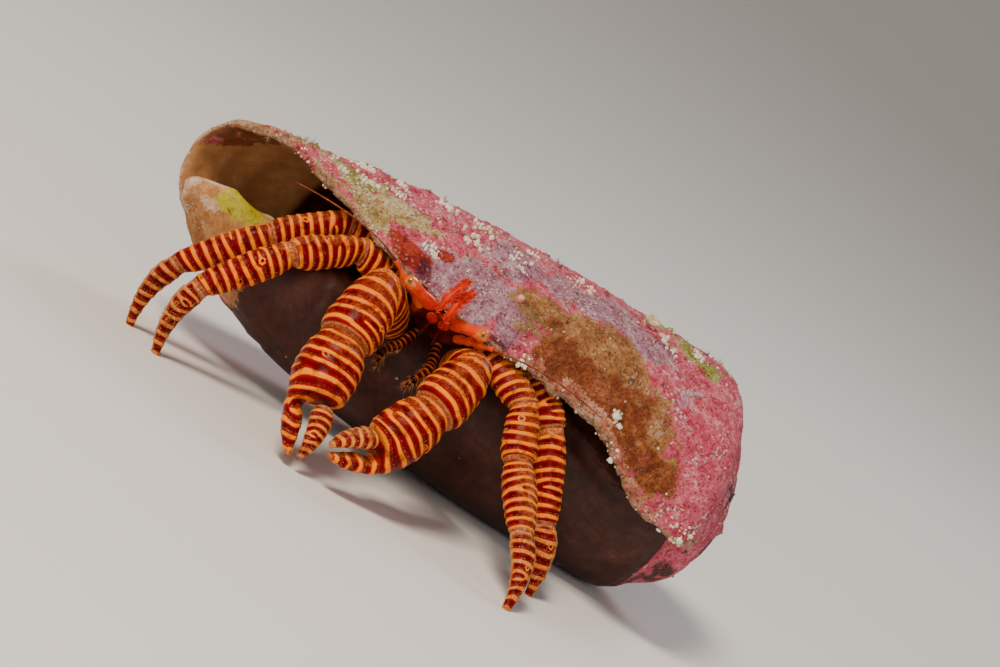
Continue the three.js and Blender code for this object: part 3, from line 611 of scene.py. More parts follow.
# %% Claws
CLAW_PERIOD, FINGER_PERIOD = 1.2, 0.78
for index, (claw, (half, inward, places)) in enumerate(CLAWS.items()):
    places = np.array(places, float)
    cuts = mitres(places)
    side = unit(np.array(inward, float))
    for i, (piece, sections) in enumerate(CLAW_SECTIONS.items()):
        tube = limb_rings(places[i], places[i + 1], cuts[i], cuts[i + 1], side, sections, half)
        facts_of[f"{claw}_{piece}"] = ringed_piece(
            f"{claw}_{piece}", *tube, half, CLAW_PERIOD, 50 + 10 * index + i, claw_chitin, around=72
        )
    wrist, knuckle, tip = places[2:]
    hand, finger = unit(knuckle - wrist), unit(tip - knuckle)
    palm_length, finger_length = np.linalg.norm(knuckle - wrist), np.linalg.norm(tip - knuckle)

    def hand_rings(sections):
        rings = []
        for share, high, wide, shift in sections:
            centre = wrist + hand * min(share, 1) * palm_length + finger * max(share - 1, 0) * finger_length
            along = hand if share < 0.9 else unit(hand + finger) if share < 1 else finger
            cut = cuts[2] if share == 0 else None
            rings.append(oval(centre, along, side, high * half, wide * half, shift * half, cut))
        return rings

    knots = [min(knot, 1) * palm_length + max(knot - 1, 0) * finger_length for knot in PALM_KNOTS]
    facts_of[f"{claw}_palm"] = ringed_piece(
        f"{claw}_palm", knots, hand_rings(PALM_SECTIONS), half, CLAW_PERIOD, 70 + index, claw_chitin, "tip", 72
    )
    knots = [(share - FINGER_SECTIONS[0][0]) * finger_length for share, _, _, _ in FINGER_SECTIONS]
    facts_of[f"{claw}_finger"] = ringed_piece(
        f"{claw}_finger", knots, hand_rings(FINGER_SECTIONS), half * 0.5, FINGER_PERIOD, 80 + index, finger_chitin,
        "tip", 48
    )
    print(claw, "palm and finger in mm:", round(palm_length, 1), round(finger_length, 1))

# %% [markdown]
# ## Round and tapered parts
# Feelers, stalks, spines and worm tubes are all round or flattened tubes that follow a smooth curve through a few
# places, with a width that changes along the way. One function grows them, and one gives them a satin finish whose
# colour is cloudy, as horn and skin are never one even tone.

# %% Tubes along a curve
def grown_tube(name, places, widths, material, slot, nodes=(), side=(0, 0, 1), flat=1.0, around=24, per_mm=6,
               blunt=0.9, caps=5):
    """A closed tube. Widths are (share, half-width); flat is its thickness as a share of its width."""
    places = np.asarray(places, float)
    knots = np.concatenate([[0], np.cumsum(np.linalg.norm(np.diff(places, axis=0), axis=1))])
    length = knots[-1]
    side_rows = max(8, round(length * per_mm))
    rows = side_rows + 2 * caps
    obj, row, turn = rows_and_turns(name, rows, around)
    path = smooth_through(knots, places, np.linspace(0, length, side_rows + 1))
    # two directions across the path are carried along it without twisting
    tangents = unit(np.gradient(path, axis=0))
    across, current = np.zeros_like(path), np.asarray(side, float)
    for i, tangent in enumerate(tangents):
        current = across[i] = unit(current - current.dot(tangent) * tangent)
    upward = np.cross(tangents, across)
    step = np.clip(row - caps, 0, side_rows).astype(int)
    share = step / side_rows
    width = smooth_through([w[0] for w in widths], [[w[1]] for w in widths], share)[:, 0]
    past = np.maximum(np.maximum(caps - row, row - rows + caps), 0) / caps
    outward = np.where(row < caps, -1, 1)
    radial = across[step] * np.cos(turn)[:, None] + upward[step] * (flat * np.sin(turn))[:, None]
    points = path[step] + radial * (width * np.cos(past * math.pi / 2))[:, None]
    points = points + tangents[step] * (outward * np.sin(past * math.pi / 2) * blunt * width)[:, None]
    set_corners(obj, points)
    mark(obj, share=np.clip(share + outward * past * 0.02, 0, 1))
    finished(obj, material, slot, *nodes)
    return obj, dict(path=path, tangents=tangents, across=across, upward=upward, share=share, turn=turn)


# %% Cloudy finishes
def clouded(name, stops, scale, detail=2, grit=0.5, strength=0.0, depth=0.0, pits=None, **uniform):
    """A finish whose colour is cloudy at a scale in turns per metre. Its bumps are those clouds, or finer pits."""
    m = new_material(name, **uniform)
    place = add(m, "TexCoord", out="Object")
    cloudy = add(m, "TexNoise", {"Vector": place, "Scale": scale, "Detail": detail, "Roughness": grit})
    height = add(m, "TexNoise", {"Vector": place, "Scale": pits, "Detail": 2}) if pits else cloudy
    return dress(m, add(m, "ValToRGB", [cloudy], stops), height if strength else None, strength, depth)


def fleshy(name, dark, middle, light, roughness, scale=900, coat=0.15, sheer=0.1, gloss=0.22):
    """Satin skin or horn, with pits of about 0.2 mm."""
    return clouded(
        name, [(0.32, dark), (0.5, middle), (0.7, light)], scale, 4, 0.6, 0.25, 0.00005, 5000, Roughness=roughness,
        Coat_Weight=coat, Coat_Roughness=0.15, IOR=1.45, Specular_IOR_Level=gloss, Subsurface_Weight=sheer,
        Subsurface_Radius=(0.0012, 0.0004, 0.0002), Subsurface_Scale=0.6
    )


# %% [markdown]
# ## Joints
# Between two horny pieces lies a soft skin, folded like a bellows, which lets the joint bend. Only a narrow ring of it
# shows, pale and fuzzy. It is lofted through the end section of one piece and the first section of the next, both
# drawn in a little, so it always lies inside the rims.

# %% Joint skins
# leathery folds, about 0.4 mm, that let a little light through
joint_skin = clouded(
    "soft_joint_skin", [(0.3, "#5c1408"), (0.5, "#96401a"), (0.72, "#cc8850")], 2400, 4, 0.7, 0.6, 0.0001,
    Roughness=0.5, IOR=1.4, Subsurface_Weight=0.2, Subsurface_Radius=(0.001, 0.0004, 0.0002)
)
SKIN_ROWS = 14


def drawn_in(surface, far, share):
    """A section of a loft, drawn in towards its middle."""
    middle = middle_at(surface, far, 32)
    return lambda turn: middle + (surface(np.full(len(turn), far), turn) - middle) * share


PIECES = {limb: list(LEG_SECTIONS) for limb in LEGS} | {claw: ["merus", "carpus", "palm", "finger"] for claw in CLAWS}
for limb, pieces in PIECES.items():
    # a claw's finger has no skin of its own, because its joint is hidden in the palm
    pieces = pieces if limb in LEGS else pieces[:3]
    for before, after in zip(pieces, pieces[1:]):
        a, b = facts_of[f"{limb}_{before}"], facts_of[f"{limb}_{after}"]
        rings = [drawn_in(a["surface"], a["length"] - back, share) for back, share in ((0.7, 0.8), (0.05, 0.93))]
        rings += [drawn_in(b["surface"], far, share) for far, share in ((0.02, 0.97), (0.6, 0.85))]
        centres = [ring(np.linspace(0, TURN, 33)[:32]).mean(axis=0) for ring in rings]
        steps = [max(0.12, np.linalg.norm(q - p)) for p, q in zip(centres, centres[1:])]
        knots = np.concatenate([[0], np.cumsum(steps)])
        obj, row, turn = rows_and_turns(f"{limb}_{before}_joint_skin", SKIN_ROWS, 40)
        points = loft(knots, rings)(np.clip((row - 1) / (SKIN_ROWS - 2), 0, 1) * knots[-1], turn)
        points[row == 0], points[row == SKIN_ROWS] = centres[0], centres[-1]
        set_corners(obj, points)
        finished(obj, joint_skin, "soft_skin")

# %% [markdown]
# ## Bristles
# Every red ridge carries a comb of short stiff bristles along its far edge, and tufts of longer ones stand at the
# joints and under the toes. One bristle is modelled as a thin three-sided spike with a bend, and copied to all its
# roots, each a little different. Their map puts each bristle's faces at its root's place on the unrolled limb.

# %% One bristle
bpy.ops.object.select_all(action="DESELECT")
bpy.ops.mesh.primitive_cone_add(vertices=3, radius1=1, radius2=0.6, depth=0.5, end_fill_type="NGON")
spike = bpy.context.object
select_where(spike, "polygons", lambda face: face.center.z > 0.24)
bpy.ops.mesh.extrude_region_move(TRANSFORM_OT_translate={"value": (0, 0, 0.5)})
bpy.ops.mesh.merge(type="CENTER")
bpy.ops.mesh.select_all(action="SELECT")
bpy.ops.mesh.quads_convert_to_tris()
bpy.ops.object.mode_set(mode="OBJECT")


def taken_apart(obj):
    """The corners and faces of a small model, which is then put away."""
    corners, faces = read_vectors(obj, "co"), np.array([list(face.vertices) for face in obj.data.polygons])
    bpy.data.objects.remove(obj)
    return corners, faces


SPIKE, SPIKE_FACES = taken_apart(spike)
SPIKE = SPIKE + [0, 0, 0.25]
print("one bristle:", len(SPIKE), "corners,", len(SPIKE_FACES), "faces")

# %% Planting many copies
# how much of the map one copy takes up
PATCH = 0.0015


def many_copies(name, body, one_faces, corner_map, material, slot):
    """One mesh from the corners of all copies, with the map OFBake."""
    firsts = (np.arange(len(body)) * body.shape[1])[:, None, None]
    faces = (one_faces[None] + firsts).reshape(-1, 3)
    mesh = bpy.data.meshes.new(name)
    mesh.from_pydata(placed(body.reshape(-1, 3)).tolist(), [], faces.tolist())
    obj = bpy.data.objects.new(name, mesh)
    bpy.context.scene.collection.objects.link(obj)
    corner_map = corner_map.reshape(-1, 2)[faces.ravel()].astype(np.float32)
    mesh.uv_layers.new(name="OFBake").data.foreach_set("uv", corner_map.ravel())
    print(name, len(faces), "faces")
    return finished(obj, material, slot)


def planted(name, roots, aims, bends, lengths, width, at_map, material, slot):
    """Copies of the spike at many roots. A width is one for all, or one for each."""
    aims, bends = unit(aims), np.broadcast_to(bends, (len(roots), 3))
    across = unit(np.cross(aims, bends + np.array([1e-4, 2e-4, 3e-4])))
    x, y, z = (column[None, :, None] for column in SPIKE.T)
    sideways = across[:, None] * x + np.cross(across, aims)[:, None] * y
    lengthwise = aims[:, None] * z + bends[:, None] * z**2
    width = np.broadcast_to(width, len(roots))
    body = roots[:, None] + sideways * width[:, None, None] + lengthwise * lengths[:, None, None]
    corner_map = at_map[:, None] + (SPIKE[:, :2] * PATCH * (1 - 0.8 * SPIKE[:, 2:]))[None]
    return many_copies(name, body, SPIKE_FACES, corner_map, material, slot)


# %% Roots on the ridges
# horn without lime, pale and a little see-through at the tips
bristle_horn = clouded(
    "pale_bristle_horn", [(0.3, "#7c4420"), (0.5, "#b07440"), (0.7, "#dab482")], 3000, Roughness=0.45, IOR=1.5
)
# the phase at a ridge's far edge
EDGE_PHASE = 4.2


def on_ridges(facts, per_mm, random):
    """Roots along the far edge of each ridge: how far along, and at which turn."""
    length, girth, period = facts["length"], facts["girth"], facts["period"]
    count = int(length / period * TURN * girth * per_mm)
    turn = random.uniform(-math.pi, math.pi, count)
    far = random.uniform(0.04, 0.96, count) * length
    goal = None
    for _ in range(6):
        phase = ring_phase(far + facts["offset"], turn, girth, period, facts["seed"], facts["forks"])
        if goal is None:
            goal = np.round((phase - EDGE_PHASE) / TURN) * TURN + EDGE_PHASE
        far = far - 0.8 * (phase - goal) * period / TURN
    kept = (far > 0.1) & (far < length - 0.1) & (np.abs(phase - goal) < 0.5)
    return far[kept] + random.normal(0, 0.1, kept.sum()), turn[kept]


def stance(facts, far, turn, step=0.05):
    """The place, the outward direction and the lengthwise direction at lengths and turns of a limb."""
    surface = facts["surface"]
    along = unit(surface(far + step, turn) - surface(far - step, turn))
    return surface(far, turn), outward_at(surface, far, turn, facts["length"]), along


def unrolled(turn, up):
    """The place of a root on the unrolled limb's map."""
    return np.stack([turn / TURN * 0.94 + 0.5, up], axis=-1)


# %% Bristles of the limbs
def bristles_of(limb, pieces, seed):
    """Combs on the ridges and wisps at the joints of one limb, as one mesh."""
    random = np.random.default_rng(seed)
    gathered = []
    for index, piece in enumerate(pieces):
        facts = facts_of[f"{limb}_{piece}"]
        length_of_piece = facts["length"]
        toe = piece in ("dactyl", "finger")
        # the combs along the ridges
        far, turn = on_ridges(facts, 12 if toe else 15, random)
        root, normal, along = stance(facts, far, turn)
        lift = random.uniform(0.55, 1.2, len(far))[:, None]
        aim = along * np.cos(lift) + normal * np.sin(lift) + random.normal(0, 0.16, (len(far), 3))
        length = random.uniform(0.2, 0.5, len(far)) * (1.25 if toe else 1)
        at_map = unrolled(turn, (index + 0.05 + 0.9 * far / length_of_piece) / 4)
        gathered.append((root + normal * RIDGE * 0.2, aim, -normal * 0.25, length, np.full(len(far), 0.024), at_map))
        # longer wisps below the toes and tufts on the rims
        wisps = 300 if toe else (220 if limb in LEGS else 160)
        far = random.uniform(0.15, 0.97, wisps) if toe else random.choice([0.012, 0.985], wisps)
        far = far * length_of_piece
        turn = random.uniform(-math.pi, math.pi, wisps)
        root, normal, along = stance(facts, far, turn)
        aim = along * random.uniform(0.3, 1, wisps)[:, None] + normal * random.uniform(0.5, 1, wisps)[:, None]
        aim = aim + random.normal(0, 0.22, (wisps, 3))
        length = random.uniform(0.3, 0.75, wisps) * (1.5 if toe else 1.0)
        at_map = unrolled(turn, (index + 0.05 + 0.9 * far / length_of_piece) / 4)
        bend = random.normal(0, 0.15, (wisps, 3)) - [0, 0, 0.1]
        gathered.append((root + normal * (0.0 if toe else 0.03), aim, bend, length, np.full(wisps, 0.03), at_map))
    columns = [np.concatenate(column) for column in zip(*gathered)]
    planted(f"{limb}_bristles", *columns, bristle_horn, "banded_plate")


for index, (limb, pieces) in enumerate(PIECES.items()):
    bristles_of(limb, pieces, 100 + index if limb in LEGS else 110 + index - len(LEGS))

# %% [markdown]
# Each claw's wrist, the carpus, ends in one bright orange spine on its upper margin, and a tuft of long pale hairs
# stands beside it.

# %% Wrist spines and tufts
spine_horn = fleshy("orange_spine_horn", "#c42c00", "#f06400", "#ffa82a", 0.35)
wisp_hair = fleshy("pale_wisp_hair", "#a88a62", "#dcc8a4", "#f6ecd8", 0.45, 3000, 0.0)
for claw, turn in (("right_claw", 1.4), ("left_claw", -2.27)):
    facts = facts_of[f"{claw}_carpus"]
    far = facts["length"] - 0.3
    root, out, along = (row[0] for row in stance(facts, np.array([far]), np.array([turn]), 0.1))
    places = [root - out * 0.3, root + out * 0.3 + along * 0.1, root + out * 0.6 + along * 0.9]
    widths = [(0, 0.46), (0.5, 0.3), (1, 0.05)]
    grown_tube(f"{claw}_wrist_spine", places, widths, spine_horn, "banded_plate", around=16, per_mm=16)
    random = np.random.default_rng(120)
    count = 60
    turns_off = turn + np.sign(turn) * 0.35 + random.normal(0, 0.22, count)
    farther = far + random.normal(0.1, 0.12, count)
    roots = facts["surface"](np.clip(farther, 0, facts["length"]), turns_off)
    aims = out + 0.5 * along + random.normal(0, 0.25, (count, 3))
    at_map = unrolled(turns_off, farther / facts["length"] * 0.9) % 1
    lengths = random.uniform(0.7, 1.7, count)
    planted(f"{claw}_wrist_tuft", roots, aims, -out * 0.2, lengths, 0.042, at_map, wisp_hair, "banded_plate")

# %% [markdown]
# ## The shell
# The crab's house is a cone shell: one wall, rolled up round an axis, that widens towards its shoulder. Every place
# on it can be told by three numbers: how far it lies along the axis, how many turns back from the lip, and how far
# out. With them the outside is told from the inside, the coats of growth find their places, and the growth lines run
# as they grew. The mesh is a copy of the plain shell, cut into small even faces, because a crust needs many.

# %% The shell's own measures
# in mm and degrees, after the drawing: s runs along the axis from the canal, where the legs come out, to the spire
CANAL = np.array([-32.4, -6.2, 0.0])
YAW = math.radians(16)
SHELL_LENGTH = 59.5
WALL = 0.9
ALONG = np.array([math.cos(YAW), math.sin(YAW), 0.0])
BACK = np.array([-math.sin(YAW), math.cos(YAW), 0.0])


def axis_height(s):
    return 12.1 + 3.5 * np.exp(-np.maximum(s, 0) / 9)


def lip_radius(s):
    swollen = 1 - 0.62 * np.exp(-np.maximum(s, -2) / 13)
    over = np.clip((s - SHELL_LENGTH + 4.2) / 4.2, 0, 1)
    return 16.8 * swollen - 4.2 * (1 - np.sqrt(1 - over * over))


def wall_radius(s, turns):
    """The radius of the wall's outer face, which winds inwards."""
    behind = np.clip(1 - np.maximum(s, 0) / SHELL_LENGTH, 0, 1)
    return lip_radius(s) * (1 - 0.35 * turns - 0.5 * behind**1.5 * np.clip(turns, 0, 1.06) ** 4)


def lip_angle(s):
    return np.radians(161 - 74 * np.exp(-np.maximum(s, 0) / 9.5) + 22 / (1 + np.exp(-(s - 46.8) / 1.9)))


def slant(s):
    return 0.58 * np.exp(-np.maximum(s, 0) / 9)


def shell_place(s, turns, radius):
    """A place in the drawing, from the length along the axis, the turns back from the lip and the radius."""
    angle = lip_angle(s) - TURN * turns
    back = radius * np.cos(angle)
    point = CANAL + (s - slant(s) * back)[:, None] * ALONG + back[:, None] * BACK
    point[:, 2] = axis_height(s) + radius * np.sin(angle)
    return point


def shell_reading(point):
    """The length, the turns and the radius of a place in the drawing."""
    out = point - CANAL
    along, back = out @ ALONG, out @ BACK
    s = along.copy()
    for _ in range(30):
        s = along + slant(s) * back
    up = point[:, 2] - axis_height(s)
    radius = np.hypot(back, up)
    turns = ((lip_angle(s) - np.arctan2(up, back)) / TURN) % 1
    # what lies well outside the wall just before a full turn belongs to the lip
    before = (turns > 0.93) & (radius > wall_radius(s, turns) + 1.2)
    return s, turns - before, radius


trial = shell_place(np.array([20.0, 40.0]), np.array([0.2, 0.5]), np.array([9.0, 12.0]))
print("told back:", [v.round(2) for v in shell_reading(trial)])

# %% A fine copy of the plain shell
# corners of the plain solids that lie this close, in mm, are one
MERGE_MM = 0.002


def fine_copy(name, nodes, voxel_mm, factor, iterations):
    """One smooth skin of small even faces over copies of plain solids."""
    parts = []
    for node in nodes:
        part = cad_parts[node].copy()
        part.data = part.data.copy()
        bpy.context.scene.collection.objects.link(part)
        parts.append(part)
    only(parts[0])
    for part in parts[1:]:
        part.select_set(True)
        bpy.ops.object.join()
    obj = bpy.context.object
    obj.name = name
    bpy.ops.object.mode_set(mode="EDIT")
    bpy.ops.mesh.select_all(action="SELECT")
    bpy.ops.mesh.remove_doubles(threshold=MERGE_MM * MM)
    bpy.ops.object.mode_set(mode="OBJECT")
    shaped_by(obj, "REMESH", mode="VOXEL", voxel_size=voxel_mm * MM)
    shaped_by(obj, "SMOOTH", factor=factor, iterations=iterations)
    bpy.ops.object.shade_smooth()
    print(name, len(obj.data.polygons), "faces")
    return obj


shell = fine_copy("overgrown_shell", ["shell"], 0.39, 0.5, 4)

# %% Smooth walls
s, turns, radius = shell_reading(in_drawing(shell))
depth_in = wall_radius(s, turns) - radius
calm_weight = smoothly(depth_in, WALL * 0.7, WALL) * (1 - smoothly(s, 12, 18)) * smoothly(s + 6 * turns, 0.8, 2.2)
group = shell.vertex_groups.new(name="inside")
for i in np.nonzero(calm_weight > 0.02)[0]:
    group.add([int(i)], float(calm_weight[i]), "REPLACE")
shaped_by(shell, "SMOOTH", factor=0.5, iterations=25, vertex_group="inside")
points = in_drawing(shell)
s, turns, radius = shell_reading(points)
full = wall_radius(s, turns)
off = np.stack([full, full - WALL, wall_radius(s, turns + 1)]) - radius
step = off[np.abs(off).argmin(axis=0), np.arange(len(s))]
on_wall = (np.abs(step) < 0.3) & (s > 0.5) & (s < 54) & (turns > 0.004) & (turns < 0.97) & (calm_weight < 0.02)
angle = lip_angle(s) - TURN * turns
radial = np.cos(angle)[:, None] * (BACK - slant(s)[:, None] * ALONG) + np.sin(angle)[:, None] * np.array([0, 0, 1.0])
points = points + radial * (step * on_wall)[:, None]
arc = turns * TURN * lip_radius(s)
print("laid on the true spiral:", int(on_wall.sum()), "of", len(s), "corners")

# %% [markdown]
# The wall doesn't end square at the canal. Its front reaches as far out as its back, and from there the free edge
# runs aslant down to where the legs come out. So the last millimetres of the wall are drawn out or drawn back along
# the axis, more or less from turn to turn.

# %% The slanting rim of the canal
RIM_TURNS = [0.35, 0.42, 0.5, 0.55, 0.6, 0.65, 0.7, 0.75, 0.77, 0.79, 0.82, 0.86, 0.92, 1.0]
RIM_SHIFTS = [0, -0.3, -1.6, -2.8, -3.6, -4.2, -4.4, -3.0, -1.5, -0.2, 1.2, 3.0, 4.8, 6.0]
core = 1 - smoothly(radius / full, 0.35, 0.6)
shift = sum(np.interp(turns + step, RIM_TURNS, RIM_SHIFTS, left=0.0) for step in (-0.012, 0, 0.012)) / 3
shift = shift * (1 - core) + RIM_SHIFTS[-1] * core
drawn_to = s + shift * (1 - smoothly(s, -0.5, np.where(shift < 0, 8, 14)))
full_there = wall_radius(drawn_to, turns)
at_top = np.exp(-(((turns - 0.03) / 0.08) ** 2)) * (1 - smoothly(s, 2, 9))
at_side = np.exp(-(((turns - 0.4) / 0.13) ** 2)) * (1 - smoothly(s, 1, 9))
full_there = full_there * (1 + (0.09 * at_top - 0.13 * at_side) * (1 - core))
new_radius = (full_there - (full - radius)) * (1 - core) + radius * full_there / full * core
points = np.where((s < 14)[:, None], shell_place(drawn_to, turns, new_radius), points)
print("the rim is drawn by", round(float((drawn_to - s).min()), 1), "to", round(float((drawn_to - s).max()), 1), "mm")

# %% [markdown]
# The crust is a pink seaweed that hardens with lime, in coats up to half a millimetre thick. It follows the outside,
# reaches round the lip's edge and stops inside. Other growth lies in patches over it: a cream and yellow-green crust
# near the canal, a smooth brick-red sponge at the lip, an olive film on the broad middle. Each patch is an oval on
# the unrolled shell, given by its middle along the axis and back from the lip, with a ragged outline.

# %% Patches of growth
def patch(middle_s, middle_arc, long, wide, lean, ragged, seed):
    """How much of a patch covers each corner, from 0 to 1. Sizes in mm, and the lean in radians."""
    ds, da = s - middle_s, arc - middle_arc
    ds, da = ds * math.cos(lean) + da * math.sin(lean), da * math.cos(lean) - ds * math.sin(lean)
    edge = np.hypot(ds / long, da / wide) + ragged * clouds(points, 2.4, seed) + 0.2 * clouds(points, 0.9, seed + 1)
    return 1 - smoothly(edge, 0.4, 1.5)


def patches(*ovals):
    """How much of any of the patches covers each corner."""
    return np.maximum.reduce([patch(*oval) for oval in ovals])


def flecked(size, seed, finer, finer_seed):
    """Clouds, with half as much of finer ones."""
    return clouds(points, size, seed) + 0.5 * clouds(points, finer, finer_seed)


def away_from(x, y, z, squash, size, seed):
    """How far each corner lies from a place, made uneven by clouds."""
    return np.linalg.norm((points - [x, y, z]) * squash, axis=1) + 0.9 * clouds(points, size, seed)


# %% Sides and edges of the wall
outer_side = np.clip((WALL - (full - radius)) / (0.6 * WALL), 0, 1) * (turns < 1.2) * (turns > -0.2)
outer_side = np.maximum(outer_side, smoothly(s, 57.1, 58.0))
inner_side = 1 - outer_side
lip_edge = (1 - smoothly(np.abs(arc), 0.25, 1.1)) * (radius > full - 1.8)
# below the crab the face turns smooth and dark brown: partly a real worn stain where the crab rubs, partly painted
# shade under the lip
below_crab_worn_and_shaded = smoothly(turns + 0.1 * clouds(points, 5, 13), 0.5, 0.64)
spire = smoothly(s, 57.5, 59.5)
below_crab_worn_and_shaded = below_crab_worn_and_shaded * (1 - spire * (0.45 + 0.55 * smoothly(clouds(points, 3.2, 83), -0.35, 0.25)))
near_canal = 1 - smoothly(s + 3 * clouds(points, 4, 14), 3.5, 9)
hidden = smoothly(arc, 20, 26)
canal_wall = np.maximum(near_canal * smoothly(turns, 0.12, 0.24), 1 - smoothly(s + clouds(points, 1.2, 37), 1.2, 3.0))
print("outside:", round(100 * float((outer_side > 0.5).mean()), 1), "% of the corners")

# %% Coats of growth
# the cream crust lies in streaks along the wall, with the pink between them
drawn_out = np.stack([s / 2.6, arc, 0 * s], axis=-1)
streaks = clouds(drawn_out, 0.95, 33) + 0.4 * clouds(points, 0.8, 34)
streaks = 1 - 0.9 * smoothly(streaks, 0.05, 0.4) * smoothly(s, 1, 4)
# one thin film, olive above and rust towards the lip, with holes worn through it
film = patches(
    (35.5, 7.2, 6, 2.6, 0.25, 0.45, 7),
    (43.5, 8.4, 6.2, 2.9, 0, 0.5, 8),
    (46.8, 4.8, 6.0, 4.6, 0.1, 0.4, 9),
    (39.5, 3.8, 6.5, 3.0, 0, 0.4, 10),
)
film = np.maximum(film, 0.8 * patch(41.5, 1.8, 6.5, 1.7, 0, 0.7, 64))
film = film * (1 - 0.45 * smoothly(flecked(1.5, 62, 0.7, 63), 0.4, 1.0))
rusty = smoothly(flecked(3.0, 60, 1.1, 61) - (arc - 6.0) / 4.5, -0.7, 0.6)
lavender = np.maximum(patch(26, 3.5, 6.5, 4.2, 0.2, 0.6, 5), 0.9 * patch(37, 12.5, 11.5, 3.2, 0.12, 0.7, 6))
growth = {
    "cream_crust": patches((7, 2.8, 10, 4.0, 0, 0.3, 1), (15.5, 6, 5, 2.2, 0.3, 0.6, 2)) * streaks,
    "lavender_crust": lavender,
    "olive_film": film,
    "rust_film": film * rusty,
    "grainy_border": 0.8 * patch(42.5, 0.6, 8.5, 1.2, 0, 0.8, 65),
    "brick_sponge": patches((17.3, 2.0, 3.0, 1.7, 0.2, 0.3, 3), (21.2, 5.0, 1.9, 0.8, 0.5, 0.2, 4)),
    "dark_patch": patches((28.6, 0.5, 2.2, 0.7, 0, 0.3, 15), (19.5, 1.8, 1.0, 1.6, 0.2, 0.3, 16)),
    "green_crust": patches((50.5, 22, 4.2, 2.0, -0.3, 0.5, 11), (8, 5.4, 4, 1.6, 0, 0.6, 12)),
}

# %% Drifts on the far sides
# there the same kinds of growth go on by themselves: kind, size, seed and how little of it there is
DRIFTS = [
    ("lavender_crust", 11, 84, -0.1), ("olive_film", 9, 85, 0.2),
    ("cream_crust", 8, 86, 0.15), ("rust_film", 8, 87, 0.4),
]
bent = points + np.stack([clouds(points, 5, seed) for seed in (90, 91, 92)], axis=-1) * 2.5
for name, size, seed, least in DRIFTS:
    drift = smoothly(clouds(bent, size, seed) + 0.3 * clouds(bent, 2.2, seed + 9), least, least + 0.8)
    growth[name] = np.maximum(growth[name], 0.85 * hidden * drift)
for name, cover in growth.items():
    cover *= outer_side * (1 - below_crab_worn_and_shaded) * (1 - canal_wall)
    print(name, "covers", round(100 * float((cover > 0.5).mean()), 1), "% of the corners")

# %% Worn and shaded places, mosses and stains
# the crust has worn off the ridges of the spire in places
cone = smoothly(s, 57.4, 58.6)
bare_ridges = 0.72 * cone * smoothly(flecked(3.4, 87, 1.0, 88), -0.5, 0.9)
rim_line = 1 - smoothly(s + 0.5 * clouds(points, 1.1, 20), 0.35, 0.9)
chalky = 1 - smoothly(away_from(-30.7, -9.1, 13.9, [0.8, 1, 0.9], 1.3, 36), 0.3, 1.8)
mossy = 1 - smoothly(away_from(-28.9, -9.2, 15.4, [0.75, 1, 1], 1.6, 17), 0.2, 3.6)
growth |= {
    # the dark face below the crab is partly real wear and stain and partly painted shade; on the spire it is real wear
    "worn_and_shaded_face": outer_side * np.maximum(below_crab_worn_and_shaded * (1 - cone), bare_ridges),
    "canal_wall": outer_side * canal_wall,
    "rim_crust": outer_side * canal_wall * np.maximum(rim_line, 0.8 * chalky),
    "yellow_moss": outer_side * mossy,
    # the tan glaze near the canal fades further in into the dark lowest coat, and that fade is painted shade
    "tan_glaze": inner_side * (1 - smoothly(s + 2 * turns, 9, 16)),
    "red_band": inner_side * patch(3.0, 5.4, 3.2, 4.4, 0, 0.5, 18),
    "rose_speckle": patches((1.2, 7.0, 1.5, 2.0, 0, 1.0, 19), (4.2, 0.2, 1.1, 0.9, 0, 0.5, 35))
    * np.maximum(inner_side, lip_edge),
}
print("kinds of growth:", len(growth))

# %% Relief of the crust
lumpy = np.maximum(growth["cream_crust"], growth["green_crust"])
calm = np.maximum(growth["brick_sponge"], 0.6 * growth["olive_film"])
coat = 0.16 * clouds(points, 4.5, 21) + 0.09 * clouds(points, 1.7, 22) + 0.05 * clouds(points, 0.75, 23)
knobs = np.clip(clouds(points, 1.15, 24) - 0.25, 0, 1) * smoothly(s, 1.5, 6)
coat = coat * (1 - 0.5 * calm) + (0.35 + 0.75 * lumpy) * knobs + 0.12 * growth["brick_sponge"] + 0.15 * lumpy
coat = coat * (1 - 0.85 * growth["worn_and_shaded_face"]) * (1 - 0.6 * cone)
reach = np.maximum(outer_side, 0.4 * lip_edge)
growth_lines = 0.035 * np.sin(arc * TURN / 0.8 + 1.5 * clouds(points, 5, 25)) * (1 - reach)
set_corners(shell, points)
low_edge = smoothly(points[:, 2], 0.0, 0.6)
raised = (coat * reach + growth_lines * (lip_edge < 0.5)) * low_edge
moved = points + read_vectors(shell, "vector") * raised[:, None]
# the lip's edge is broken and worn, in steps of about a millimetre
worn = lip_edge * (0.45 * clouds(points, 1.5, 26) + 0.3 * clouds(points, 0.7, 27) - 0.15)
around = np.cross(radial, ALONG)
moved = moved + around * worn[:, None] * 0.8 + radial * (0.15 * lip_edge * clouds(points, 0.9, 28))[:, None]
moved[:, 2] = np.maximum(moved[:, 2], 0)
set_corners(shell, moved)
mark(shell, outer_side=outer_side, lip_edge=lip_edge, unrolled=np.stack([s, arc, turns], axis=-1), **growth)
print("the crust stands up to", round(float(raised.max()), 2), "mm high")

# %% [markdown]
# ### Finishes of the shell
# The crust is chalk-dull and rough, so it scatters light and hardly shines. Its pink is deeper in the pores and nearly
# white on the grains. The bare inside is a porcelain-like glaze in tan and brown with faint growth lines; its darkening
# further in is painted shade. The patches each bring a colour of their own, and ragged noise keeps their edges from
# looking drawn.

